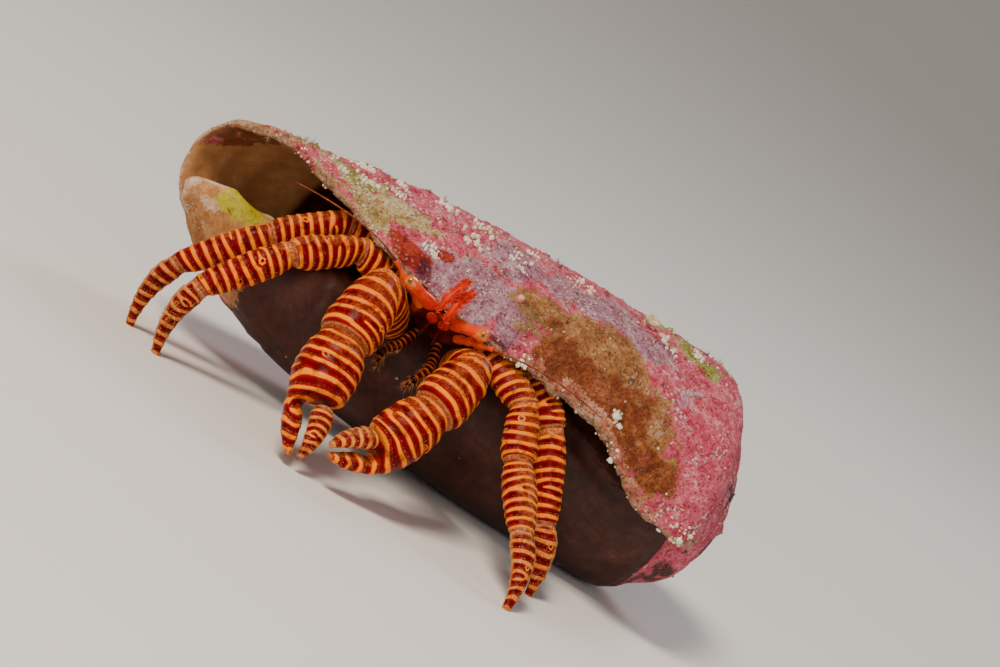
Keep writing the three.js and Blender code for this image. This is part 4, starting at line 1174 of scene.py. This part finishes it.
# %% Noises of the crust
# chalky seaweed crust on porcelain-like shell: one scatters the light, the other has a low sheen
crust = new_material("coralline_crust_on_shell", Specular_IOR_Level=0.3)
place = add(crust, "TexCoord", out="Object")
coarse = add(crust, "TexNoise", {"Vector": place, "Scale": 420, "Detail": 6, "Roughness": 0.66})
medium = add(crust, "TexNoise", {"Vector": place, "Scale": 1000, "Detail": 4, "Roughness": 0.7})
fine = add(crust, "TexNoise", {"Vector": place, "Scale": 2600, "Detail": 5, "Roughness": 0.75})
stretched = [add(crust, "Attribute", attribute_name="unrolled", out="Vector"), (0.22, 1.3, 0.0)]
stretched = add(crust, "VectorMath", stretched, operation="MULTIPLY")
lines = add(crust, "TexNoise", {"Vector": stretched, "Scale": 1.6, "Detail": 4, "Roughness": 0.7})


def blended(parts, low, high):
    """A weighted sum of noises, spread over 0 to 1."""
    total = 0.0
    for value, weight in parts:
        total = add(crust, "Math", [value, weight, total], operation="MULTIPLY_ADD")
    return add(crust, "MapRange", [total, low, high])


grainy = blended([(coarse, 0.4), (medium, 0.4), (fine, 0.5)], 0.44, 0.86)
lined = blended([(lines, 0.3), (coarse, 0.5), (medium, 0.25), (fine, 0.15)], 0.4, 0.8)
glazed = blended([(lines, 0.2), (coarse, 0.8)], 0.3, 0.7)
print("nodes so far:", len(crust.node_tree.nodes))

# %% Coats of colour
# from the lowest coat to the topmost: its name, its mottle, and its colours from the pores to the grains
COATS = [
    # the lowest coat, nearly black brown inside the shell: painted shade where little light reaches
    ("inside_in_painted_shade", glazed, [(0.0, "#1c0805"), (0.5, "#38140b"), (1.0, "#5c2c18")]),
    ("tan_glaze", glazed, [(0.0, "#94603a"), (0.5, "#ac7848"), (1.0, "#c4946a")]),
    ("red_band", grainy, [(0.0, "#3c120a"), (0.5, "#5c2412"), (1.0, "#90503a")]),
    ("outer_side", grainy, [(0.0, "#681622"), (0.3, "#b4384c"), (0.55, "#d66074"), (0.8, "#e6989e"), (1.0, "#f6d4d0")]),
    ("lavender_crust", grainy, [(0.0, "#50202e"), (0.3, "#8e5266"), (0.6, "#b88896"), (1.0, "#e8d6d4")]),
    ("olive_film", grainy, [(0.0, "#38260a"), (0.35, "#785816"), (0.65, "#a28030"), (1.0, "#d0b47c")]),
    ("rust_film", grainy, [(0.0, "#340e06"), (0.4, "#6c280c"), (0.7, "#96461a"), (1.0, "#c08c60")]),
    ("grainy_border", grainy, [(0.0, "#561610"), (0.35, "#984c38"), (0.65, "#c48a68"), (1.0, "#f0dcc4")]),
    ("cream_crust", grainy,
     [(0.0, "#5e3428"), (0.3, "#907034"), (0.55, "#bca470"), (0.8, "#dcc8a8"), (1.0, "#f0e8d8")]),
    ("green_crust", grainy, [(0.0, "#565410"), (0.4, "#868026"), (0.7, "#b4ac6c"), (1.0, "#efebda")]),
    ("brick_sponge", grainy, [(0.0, "#560a06"), (0.4, "#8c1c10"), (0.8, "#b4402a"), (1.0, "#cc8a74")]),
    ("dark_patch", grainy, [(0.0, "#1c0810"), (0.5, "#44182a"), (0.8, "#7c4658"), (1.0, "#c0a0a8")]),
    # dark brown: real wear and stain, darkened further as painted shade below the crab
    ("worn_and_shaded_face", lined, [(0.0, "#241008"), (0.4, "#38180e"), (0.75, "#4e261a"), (1.0, "#704232")]),
    ("canal_wall", lined, [(0.0, "#6c3410"), (0.3, "#9c5c28"), (0.6, "#bc8650"), (1.0, "#dcbc94")]),
    ("rim_crust", grainy, [(0.0, "#8c5a38"), (0.4, "#b88e6c"), (0.7, "#d6b89c"), (1.0, "#f0e4d4")]),
    ("yellow_moss", grainy, [(0.0, "#5c4e04"), (0.4, "#988a08"), (0.75, "#bcae1c"), (1.0, "#e0d890")]),
    ("lip_edge", grainy, [(0.0, "#5c3826"), (0.4, "#946c4e"), (0.7, "#bc9478"), (1.0, "#e6d6c6")]),
    ("rose_speckle", grainy, [(0.0, "#5c1418"), (0.45, "#9a3438"), (0.75, "#c06c68"), (1.0, "#e8c0b4")]),
]
fray = add(crust, "Math", [medium, 2.2, -2.05], operation="MULTIPLY_ADD")
fray = add(crust, "Math", [fine, 1.9, fray], operation="MULTIPLY_ADD")
# the films are thin, so the crust below shows through them
THIN = {"olive_film": 0.8, "rust_film": 0.82, "red_band": 0.8, "dark_patch": 0.8}
colour = None
for name, mottle, stops in COATS:
    ramp = add(crust, "ValToRGB", [mottle], stops)
    if colour is None:
        colour = ramp
        continue
    cover = add(crust, "Attribute", attribute_name=name, out="Fac")
    cover = add(crust, "MapRange", [cover, 0, 1, -0.4, 1.4], clamp=False)
    cover = add(crust, "Math", [cover, 0.0 if name == "tan_glaze" else fray], operation="ADD")
    cover = add(crust, "MapRange", [cover, 0.3, 0.7, 0, THIN.get(name, 1.0)], interpolation_type="SMOOTHSTEP")
    colour = add(crust, "Mix", {0: cover, 6: colour, 7: ramp}, data_type="RGBA", out=2)
print("coats of colour:", len(COATS))

# %% Grains, pores and bumps
# white lime grains, about 0.2 mm, in drifts over the crust
outer, face = (add(crust, "Attribute", attribute_name=name, out="Fac") for name in ("outer_side", "worn_and_shaded_face"))
crusted = add(crust, "Math", [outer, face], operation="SUBTRACT", use_clamp=True)
warped = add(crust, "VectorMath", [fine.node.outputs["Color"], (0.0003,) * 3, place], operation="MULTIPLY_ADD")
cells = add(crust, "TexVoronoi", {"Vector": warped, "Scale": 2000})
drifts = add(crust, "TexNoise", {"Vector": place, "Scale": 260, "Detail": 3})
grain = add(crust, "MapRange", [drifts, 0.4, 0.66, 0, 0.4])
grain = add(crust, "Math", [grain, cells], operation="SUBTRACT")
grain = add(crust, "MapRange", [grain, -0.08, 0.12, 0, 0.85])
grain = add(crust, "Math", [grain, crusted], operation="MULTIPLY")
for name in ("olive_film", "rust_film", "brick_sponge"):
    bare = add(crust, "Attribute", attribute_name=name, out="Fac")
    bare = add(crust, "MapRange", [bare, 0.15, 0.6, 1, 0.3])
    grain = add(crust, "Math", [grain, bare], operation="MULTIPLY")
# and dark pores between them
pore = add(crust, "TexVoronoi", {"Vector": warped, "Scale": 2600})
pore = add(crust, "MapRange", [pore, 0.3, 0.16, 0, 0.62])
pore = add(crust, "Math", [pore, crusted], operation="MULTIPLY")
for share, tone in ((grain, "#e8d8d4"), (pore, "#3a1020")):
    colour = add(crust, "Mix", {0: share, 6: colour, 7: paint(tone)}, data_type="RGBA", out=2)
dull = add(crust, "MapRange", [crusted, 0, 1, 0.45, 0.88])
crust.node_tree.links.new(dull, crust.node_tree.nodes["Principled BSDF"].inputs["Roughness"])
rough = add(crust, "Math", [coarse, 1.5, grain], operation="MULTIPLY_ADD")
rough = add(crust, "Math", [fine, 1.6, rough], operation="MULTIPLY_ADD")
rough = add(crust, "Math", [rough, pore], operation="SUBTRACT")
rough = add(crust, "Math", [rough, crusted], operation="MULTIPLY")
finished(shell, dress(crust, colour, rough, 0.8, 0.00022), "shell", "shell")
print("shell:", len(shell.data.polygons), "faces,", len(crust.node_tree.nodes), "nodes")

# %% [markdown]
# ### Crumbs, tufts and lodgers
# An old shell under water gathers crumbs of lime and sand, tufts of fine weed and small lodgers: a ring-shaped worm
# tube and a pink ball of sponge. One crumb is a lumpy ball with few faces. Copies of it are set where the crust is
# thick, along the lip and along the top, so the shell's outline is rough as in life.

# %% Crumbs
bpy.ops.object.select_all(action="DESELECT")
bpy.ops.mesh.primitive_ico_sphere_add(subdivisions=1, radius=1)
CRUMB, CRUMB_FACES = taken_apart(bpy.context.object)
# chalk-dull lime whose colour changes from crumb to crumb
mixed_lime, white_lime = (
    clouded(name, stops, 900, 3, 0.8, 0.6, 0.0002, Roughness=0.85, Specular_IOR_Level=0.25)
    for name, stops in (
        ("crumbs_of_lime", [(0.3, "#8a3c44"), (0.42, "#b87a70"), (0.54, "#d0b494"), (0.68, "#f0e8dc")]),
        ("white_lime", [(0.3, "#b49c74"), (0.45, "#dccdb0"), (0.6, "#f4eee2")]),
    )
)
outer_now, outer_normals = in_drawing(shell), read_vectors(shell, "vector")
# the unrolled shell on the map, whose sides stand for 66 mm and 106 mm
shell_map = np.stack([0.02 + s / 66, 0.02 + np.clip(arc, -1, 100) / 106], axis=-1)
on_crust = outer_side * (1 - below_crab_worn_and_shaded)


def crumbs(name, picks, sizes, random, material):
    """Lumpy balls half sunk in the shell at the picked corners."""
    count = len(picks)
    lumps = CRUMB[None] * random.uniform(0.65, 1.25, (count, len(CRUMB), 1)) * random.uniform(0.7, 1.3, (count, 1, 3))
    body = (outer_now[picks] + outer_normals[picks] * sizes[:, None] * 0.25)[:, None] + lumps * sizes[:, None, None]
    many_copies(name, body, CRUMB_FACES, shell_map[picks][:, None] + CRUMB[None, :, :2] * PATCH, material, "shell")


def corner_near(place_s, place_arc):
    """The corner nearest to a place of the unrolled shell. Corners inside count as 50 mm farther."""
    return int((np.hypot(s - place_s, arc - place_arc) + 50 * (outer_side < 0.9)).argmin())


random = np.random.default_rng(300)
on_top = smoothly(outer_normals[:, 2], 0.3, 0.9)
drift = smoothly(clouds(outer_now, 4.0, 71), 0.0, 0.5)
likely = on_crust * (0.15 + 1.1 * growth["cream_crust"] + 0.9 * growth["green_crust"] + 0.8 * on_top * drift)
likely = likely + on_crust * (0.5 * growth["lavender_crust"] + 1.0 * drift * (arc < 4))
likely = likely + 1.0 * lip_edge * outer_side + 0.01 * outer_side * below_crab_worn_and_shaded
smooth_growth = np.maximum(growth["rust_film"], growth["olive_film"])
likely = likely * (1 - 0.85 * smooth_growth) * (1 - 0.8 * growth["brick_sponge"])
picks = random.choice(len(likely), 2300, replace=False, p=likely / likely.sum())
crumbs("fine_crumbs", picks, 0.05 + 0.16 * random.random(len(picks)) ** 4, random, mixed_lime)

# %% Heaps of white lime
# the place along the axis and back from the lip, the spread and the count
HEAPS = [
    (11.5, 6.0, 0.55, 30), (15, 8.5, 0.5, 30), (19.5, 4.6, 0.5, 26), (24, 10.5, 0.8, 30), (29, 12, 0.7, 22),
    (37, 15.5, 0.8, 26), (51.5, 23, 0.9, 40), (8.5, 4.5, 0.9, 24), (44.4, 2.9, 0.28, 34), (56.5, 1.0, 0.8, 30),
    (33, 0.4, 0.8, 24), (46, 0.4, 0.8, 10), (11.6, 10.0, 0.4, 60), (15.5, 11.5, 0.4, 24), (21, 13.2, 0.5, 40),
    (25, 14.2, 0.8, 36), (31, 15.5, 0.5, 20), (47.5, 18, 0.6, 30),
]
heaps = []
for place_s, place_arc, spread, count in HEAPS:
    goals = place_s + random.normal(0, spread, count), place_arc + random.normal(0, spread, count)
    heaps += [corner_near(*goal) for goal in zip(*goals)]
crumbs("lime_heaps", np.array(heaps), 0.1 + 0.26 * random.random(len(heaps)) ** 2, random, white_lime)

# %% Weed tufts
# limp filaments, dull and partly see-through, so drab
weed = clouded(
    "fine_weed", [(0.35, "#3c2a1c"), (0.5, "#75653c"), (0.65, "#b0a47c")], 500, Roughness=0.7, Specular_IOR_Level=0.25
)
EACH = 13  # filaments to a tuft
likely = on_crust * (on_top**2 * (0.3 + drift) + 1.2 * growth["cream_crust"] * drift + 0.5 * (arc < 1.5))
tufts = random.choice(len(likely), 130, replace=False, p=likely / likely.sum())
picks = np.repeat(tufts, EACH)
count = len(picks)
aims = outer_normals[picks] + random.normal(0, 0.5, (count, 3))
lengths = random.uniform(0.2, 0.75, count) * np.repeat(random.uniform(0.5, 1.1, len(tufts)), EACH)
roots = outer_now[picks] + random.normal(0, 0.1, (count, 3))
bends = random.normal(0, 0.3, (count, 3))
planted("weed_tufts", roots, aims, bends, lengths, 0.028, shell_map[picks], weed, "shell")

# %% Lodgers
worm_lime = fleshy("worm_tube_lime", "#a88a6c", "#d0bc98", "#efe6d0", 0.8, 1500, 0.0, 0.0)
ball_sponge = fleshy("pink_ball_sponge", "#a84c40", "#d88a78", "#f0c0ac", 0.7, 1500, 0.0)
at = corner_near(45.2, 17.4)
root, up = outer_now[at], outer_normals[at]
sideways = unit(np.cross(up, [0.3, 0.2, 1.0]))
across = np.cross(up, sideways)
turns_round = np.linspace(0.2, TURN * 0.93, 12)
loop = [root + up * (0.75 + 0.1 * t / 6) + (np.cos(t) * sideways + np.sin(t) * across) * 0.62 for t in turns_round]
loop = [root - up * 0.2 + sideways * 0.6] + loop
worm_widths = [(0, 0.2), (0.2, 0.26), (1, 0.3)]
grown_tube("worm_tube", loop, worm_widths, worm_lime, "shell", around=16, per_mm=8, blunt=0.3)
at = corner_near(30, 6.6)
root, up = outer_now[at], outer_normals[at]
places = [root - up * 0.2, root, root + up * 0.25]
grown_tube("pink_ball", places, [(0, 0.3), (0.5, 0.46), (1, 0.4)], ball_sponge, "shell", per_mm=12, blunt=0.8)
print("lodgers: a worm tube and a ball of sponge")

# %% [markdown]
# ## Head
# The head peeps out under the lip: two eyes on stout orange stalks, small red plates between their feet, a pair of
# antennas with long whips, and between the eyes the two short antennules, which end in a flame-like brush that
# smells the water.

# %% Finishes of the head and the soft body
stalk_skin = fleshy("eyestalk_skin", "#cc1e00", "#e63400", "#f84e00", 0.26, 700, 0.08)
red_plate = fleshy("red_head_plate", "#a40a00", "#cc1a00", "#e83600", 0.34, 800, 0.08)
feeler_skin = fleshy("orange_feeler_skin", "#bc3000", "#de4a00", "#f47000", 0.36, 700, 0.08)
whip_skin = fleshy("thin_whip_skin", "#4a1408", "#7a2a10", "#a8582c", 0.45, 1500)
soft_skin = fleshy("soft_body_skin", "#8c4034", "#b8705a", "#d8a088", 0.42, 500, 0.35, 0.3)
# nearly black and without sheen: painted shade, as the shield lies in the shade under the lip
shield_horn_in_painted_shade = fleshy("shield_horn_in_painted_shade", "#240503", "#440a04", "#74200c", 0.6, 500, 0.0, 0.0, 0.02)
print("finishes so far:", len(bpy.data.materials))
SIDES = {"right": -1, "left": 1}

# %% [markdown]
# ### Eyes
# The stalk swells at its foot and again towards its end. The cornea closes it as a rounded cap, whose colour is
# orange like the stalk's, with a greenish-yellow glow round one small black spot. That spot is the part of the
# compound eye that looks straight at the viewer, so it is set on the cornea's front here.

# %% Eyestalks and corneas
EYES = {"right": [(-6.7, -13.9, 18.6), (-10.9, -17.2, 20.1)], "left": [(-4.9, -13.9, 18.3), (-0.4, -17.2, 19.7)]}
# wet horn as clear as glass over dark eye cells, so sharp lights over a deep colour
cornea = new_material("wet_cornea", Roughness=0.12, Coat_Weight=0.8, Coat_Roughness=0.04, IOR=1.4)
place = add(cornea, "TexCoord", out="Object")
spot = add(cornea, "Attribute", attribute_name="from_spot", out="Fac")
near = add(cornea, "TexNoise", {"Vector": place, "Scale": 5000, "Detail": 3})
near = add(cornea, "Math", [near, 0.16, spot], operation="MULTIPLY_ADD")
glow_stops = [(0.2, "#030201"), (0.23, "#5c4204"), (0.33, "#b46c02"), (0.48, "#ea6a00"), (1.0, "#f04c00")]
facets = add(cornea, "TexVoronoi", {"Vector": place, "Scale": 14000})
dress(cornea, add(cornea, "ValToRGB", [near], glow_stops), facets, 0.08, 0.00003)
CORNEA_START = 0.72
STALK_WIDTHS = [(0, 0.5), (0.12, 0.68), (0.35, 0.68), (0.62, 0.58), (0.85, 0.62), (1, 0.66)]
for side, (foot, tip) in EYES.items():
    foot, tip = np.array(foot), np.array(tip)
    reach = (tip - foot) * 0.93
    places = [foot + reach * share for share in (0.06, 0.3, 0.5, CORNEA_START - 0.01)]
    nodes = [f"{side}_eyestalk"]
    name = f"{side}_eyestalk_skin"
    grown_tube(name, places, STALK_WIDTHS, stalk_skin, "orange_stalk", nodes, around=32, per_mm=10, blunt=0.4)
    places = [foot + reach * share for share in (CORNEA_START + 0.02, 0.8, 0.9)]
    widths = [(0, 0.67), (0.4, 0.7), (1, 0.62)]
    ball, _ = grown_tube(
        f"{side}_cornea", places, widths, cornea, "eye", [f"{side}_eye"], around=36, per_mm=18, blunt=0.72, caps=8
    )
    front = foot + reach * 0.87 + np.array([0.0, -0.72, 0.1])
    mark(ball, from_spot=np.linalg.norm(in_drawing(ball) - front, axis=1) / 1.1)
apart = np.subtract(EYES["right"][1], EYES["left"][1])
print("eyes stand", round(float(np.linalg.norm(apart)), 1), "mm apart")

# %% Eye scales, the red lobes between the stalks' feet
SCALE_WIDTHS = [(0, 0.42), (0.35, 0.6), (0.7, 0.5), (1, 0.22)]
for side, sign in SIDES.items():
    foot = np.array([-5.7 + sign * 0.6, -14.3, 17.45])
    point = np.array([-5.7 + sign * 0.85, -15.9, 18.3])
    places = [foot, foot + (point - foot) * 0.5, point]
    nodes = [f"{side}_eye_scale"]
    grown_tube(
        f"{side}_eye_scale_plate", places, SCALE_WIDTHS, red_plate, "red_plate", nodes, (1, 0, 0), 0.6, per_mm=12
    )

# %% [markdown]
# ### Antennas and mouth legs
# An antenna starts with a foot of five short joints that fit into each other, and ends in a whip of hundreds of rings
# finer than a hair. The mouth legs are small feathery limbs below it, orange with red bands, darkened here with painted
# shade, as they hang in the shade under the head.

# %% Antennas
ANTENNAS = {
    "right": [(-8.0, -13.7, 18.0), (-9.3, -14.2, 18.8), (-10.8, -14.9, 19.6), (-12.4, -15.6, 20.6)],
    "left": [(-3.3, -13.5, 17.2), (-2.6, -14.2, 17.6), (-1.3, -15.0, 18.1), (0.3, -15.8, 18.7)],
}
FOOT_WIDTHS = [(0, 0.42), (0.2, 0.46), (0.24, 0.4), (0.42, 0.44), (0.46, 0.36), (0.7, 0.38), (0.74, 0.3), (1, 0.26)]
WHIP_WIDTHS = [(0, 0.2), (0.12, 0.12), (0.5, 0.09), (1, 0.05)]
WHIP_RISES = {"right": [0.8, 1.3, 1.3, 0.9], "left": [0.5, 0.9, 0.9, 0.4]}
for side, places in ANTENNAS.items():
    nodes = [f"{side}_antenna"]
    grown_tube(f"{side}_antenna_foot", places, FOOT_WIDTHS, feeler_skin, "feeler", nodes, per_mm=14, blunt=0.5)
    start = np.array(places[3])
    whip = [start + unit(start - np.array(places[2])) * 0.12]
    for x, y, z in zip((2, 5.2, 9, 12.6), (-0.6, -0.7, -0.6, 0.2), WHIP_RISES[side]):
        whip.append(start + np.array([SIDES[side] * x, y, z]))
    nodes = [f"{side}_feeler"]
    _, facts = grown_tube(f"{side}_whip", whip, WHIP_WIDTHS, whip_skin, "feeler", nodes, around=10, per_mm=10)
    print(side, "whip:", round(float(np.linalg.norm(np.diff(facts["path"], axis=0), axis=1).sum()), 1), "mm")

# %% Mouth legs
MOUTH_LEGS = {
    "right": [(-7.0, -12.6, 15.3), (-7.5, -14.6, 13.9), (-8.3, -16.2, 13.0), (-8.6, -17.4, 12.4), (-8.2, -18.3, 11.3)],
    "left": [(-4.4, -12.6, 15.3), (-3.9, -14.6, 13.9), (-3.9, -16.2, 13.1), (-4.4, -17.3, 12.2), (-4.9, -17.8, 10.9)],
}
MOUTH_LENGTH = 8.3
MOUTH_WIDTHS = [(0, 0.5), (0.25, 0.56), (0.3, 0.48), (0.55, 0.5), (0.6, 0.42), (0.85, 0.38), (1, 0.14)]
for side, places in MOUTH_LEGS.items():
    nodes = [f"{side}_mouth_leg"]
    obj, facts = grown_tube(
        f"{side}_mouth_leg_plate", places, MOUTH_WIDTHS, mouth_chitin_painted_shade, "feeler", nodes, around=28, per_mm=12
    )
    far = facts["share"] * MOUTH_LENGTH
    band = ring_vector(ring_phase(far, facts["turn"], 0.6, 0.8, 31, []))
    mark(obj, band=band, from_start=far, to_end=MOUTH_LENGTH - far, curl=np.full((len(far), 3), FAR_AWAY))
    random = np.random.default_rng(130)
    count, last = 260, len(facts["path"])
    step = random.integers(round(last * 0.35), last, count)
    turn = random.uniform(-math.pi, math.pi, count)
    aims = facts["across"][step] * np.cos(turn)[:, None] + facts["upward"][step] * np.sin(turn)[:, None]
    roots = facts["path"][step] + aims * 0.3
    aims = aims + 0.9 * facts["tangents"][step]
    lengths = random.uniform(0.3, 0.8, count)
    at_map = unrolled(turn, step / last)
    planted(f"{side}_mouth_comb", roots, aims, [0, 0, -0.2], lengths, 0.022, at_map, bristle_horn, "feeler")

# %% Antennules
# thin horn without much lime, clear near the head; its colour is painted: dark there as painted shade, and a painted
# red glow further out where light comes through
antennule_skin_painted_light = new_material("antennule_stem_painted_shade_and_glow", Roughness=0.35, Specular_IOR_Level=0.12)
far_along = add(antennule_skin_painted_light, "Attribute", attribute_name="share", out="Fac")
cloudy = {"Vector": add(antennule_skin_painted_light, "TexCoord", out="Object"), "Scale": 1500, "Detail": 2}
cloudy = add(antennule_skin_painted_light, "Math", [add(antennule_skin_painted_light, "TexNoise", cloudy), 0.3, far_along], operation="MULTIPLY_ADD")
stem_stops = [(0.35, "#1c0402"), (0.6, "#5c0e02"), (0.8, "#c01c00"), (1.0, "#e43400")]
dress(antennule_skin_painted_light, add(antennule_skin_painted_light, "ValToRGB", [cloudy], stem_stops))
STEM_WIDTHS = [(0, 0.22), (0.25, 0.2), (0.32, 0.15), (0.6, 0.14), (0.62, 0.2), (0.85, 0.16), (1, 0.07)]
# how far each place lies to the side, with the side and in any case, how far back, and how high
STEM_PLACES = [(0.75, 0, -14.2, 15.6), (0.8, 0, -16.0, 16.0), (0.65, 0, -17.2, 17.3), (0.6, 0, -17.4, 19.0),
               (0.55, 0.15, -17.0, 20.7)]
ANTENNULES = {}
for side, sign in SIDES.items():
    last = (0.5, 0.65, -16.3, 22.6 if side == "right" else 22.0)
    places = [(-5.7 + both + sign * apart, y, z) for apart, both, y, z in (*STEM_PLACES, last)]
    nodes = [f"{side}_antennule"]
    name = f"{side}_antennule_stem"
    _, ANTENNULES[side] = grown_tube(name, places, STEM_WIDTHS, antennule_skin_painted_light, "feeler", nodes, around=20, per_mm=10)
print("antennules:", ", ".join(ANTENNULES))

# %% [markdown]
# Each antennule ends in a flat brush of soft hairs that smell the water. Against the light they glow like a small
# red flame. The hairs are planted in fans along the last third of the stem, longest in the middle.

# %% Brushes of the antennules
# hairs so thin that they let light through, so they glow
flame = clouded(
    "glowing_smelling_hairs", [(0.35, "#b81400"), (0.65, "#f03c04")], 1800, 3, Roughness=0.4, IOR=1.4,
    Subsurface_Weight=0.25, Subsurface_Radius=(0.001, 0.0003, 0.0001)
)
FAN = np.array([0.82, -0.3, 0.1])
for index, (side, facts) in enumerate(ANTENNULES.items()):
    random = np.random.default_rng(200 + index)
    count, path = 900, facts["path"]
    share = random.uniform(0.56, 1.0, count)
    step = share * (len(path) - 1)
    at = np.floor(step).astype(int).clip(0, len(path) - 2)
    root = path[at] + (path[at + 1] - path[at]) * (step - at)[:, None]
    spread = random.normal(0, 0.5, count)[:, None]
    aim = facts["tangents"][at] * np.cos(spread) + FAN * np.sin(spread) + random.normal(0, 0.1, (count, 3))
    length = random.uniform(0.5, 1.0, count) * (0.55 + 0.9 * np.sin(math.pi * np.clip((share - 0.5) * 1.6, 0, 1)))
    bend = np.array([0.5, 0.1, 0.1]) * random.uniform(-0.1, 0.5, count)[:, None]
    at_map = np.stack([random.uniform(0.02, 0.98, count), share], axis=-1)
    planted(f"{side}_antennule_brush", root, aim, bend, length, 0.07, at_map, flame, "feeler")

# %% [markdown]
# ### Shield and soft body
# The shield is the hard front part of the back. Behind it the body is soft, and it winds round inside the shell. The
# hind part of the back and the abdomen are made as one skin here, from copies of their plain solids that are joined
# and smoothed, so no seam shows between them.

# %% Shield
HEAD_FRONT, HEAD_BACK = np.array([-5.7, -13.0, 16.5]), np.array([-5.4, -5.6, 19.3])
places = [HEAD_FRONT + (HEAD_BACK - HEAD_FRONT) * share for share in (0.05, 0.35, 0.7, 0.96)]
widths = [(0, 2.4), (0.12, 3.1), (0.4, 3.75), (0.7, 4.15), (1, 4.1)]
shield, facts = grown_tube(
    "shield_plate", places, widths, shield_horn_in_painted_shade, "red_plate", ["shield"], (1, 0, 0), 0.4, around=64, blunt=0.08
)
points = in_drawing(shield)
groove = np.exp(-((facts["share"] - 0.62 - 0.12 * np.abs(np.cos(facts["turn"]))) ** 2) / 0.001)
points[:, 2] -= 0.14 * groove + 0.05 * np.abs(clouds(points, 0.9, 41))
set_corners(shield, points)
print("shield:", len(points), "corners")

# %% One skin for the soft body
skin = fine_copy("soft_body_skin", ["hind_carapace", "abdomen"], 0.3, 0.6, 12)
points = in_drawing(skin)
folds = 0.08 * clouds(points * [1, 2.2, 1], 1.6, 51) + 0.04 * clouds(points, 0.7, 52) - 0.06
set_corners(skin, points + read_vectors(skin, "vector") * folds[:, None])
finished(skin, soft_skin, "soft_skin", "hind_carapace", "abdomen")

# %% [markdown]
# The fourth and fifth legs stay inside. They are short and soft, and brace the crab against the shell's wall. The tail
# fan at the abdomen's end does the same, hooked round the shell's pillar. Both have rough pads like fish scales.

# %% Short legs
SHORT_WIDTHS = [(0, 0.5), (0.25, 0.6), (0.3, 0.5), (0.6, 0.6), (0.65, 0.46), (0.9, 0.46), (1, 0.3)]
# where a hip lies beside the middle line, and how far back the leg reaches
SHORT_LEGS = {"fourth": (-5.1, 4.7, -2.4, 20.3, 1.6), "fifth": (-4.6, 4.2, -0.2, 21.3, 1.9)}
for side, sign in SIDES.items():
    for leg, (middle, beside, y, z, reach) in SHORT_LEGS.items():
        hip = np.array((middle + sign * beside, y, z))
        places = [hip, hip + [sign * 2.2, 0.3, 0.5], hip + [sign * 3.8, reach * 0.6, -0.1]]
        places += [hip + [sign * 3.9, reach * 1.4, -0.9]]
        nodes = [f"{side}_{leg}_leg"]
        grown_tube(f"{side}_{leg}_leg_skin", places, SHORT_WIDTHS, soft_skin, "soft_skin", nodes, per_mm=8)
print("short legs:", 2 * len(SHORT_LEGS))

# %% Tail fan
tail = fine_copy("tail_fan_plate", ["tail_fan"], 0.14, 0.6, 10)
points = in_drawing(tail)
scales = 0.07 * np.abs(clouds(points, 0.45, 61))
set_corners(tail, points + read_vectors(tail, "vector") * scales[:, None])
finished(tail, red_plate, "red_plate", "tail_fan")
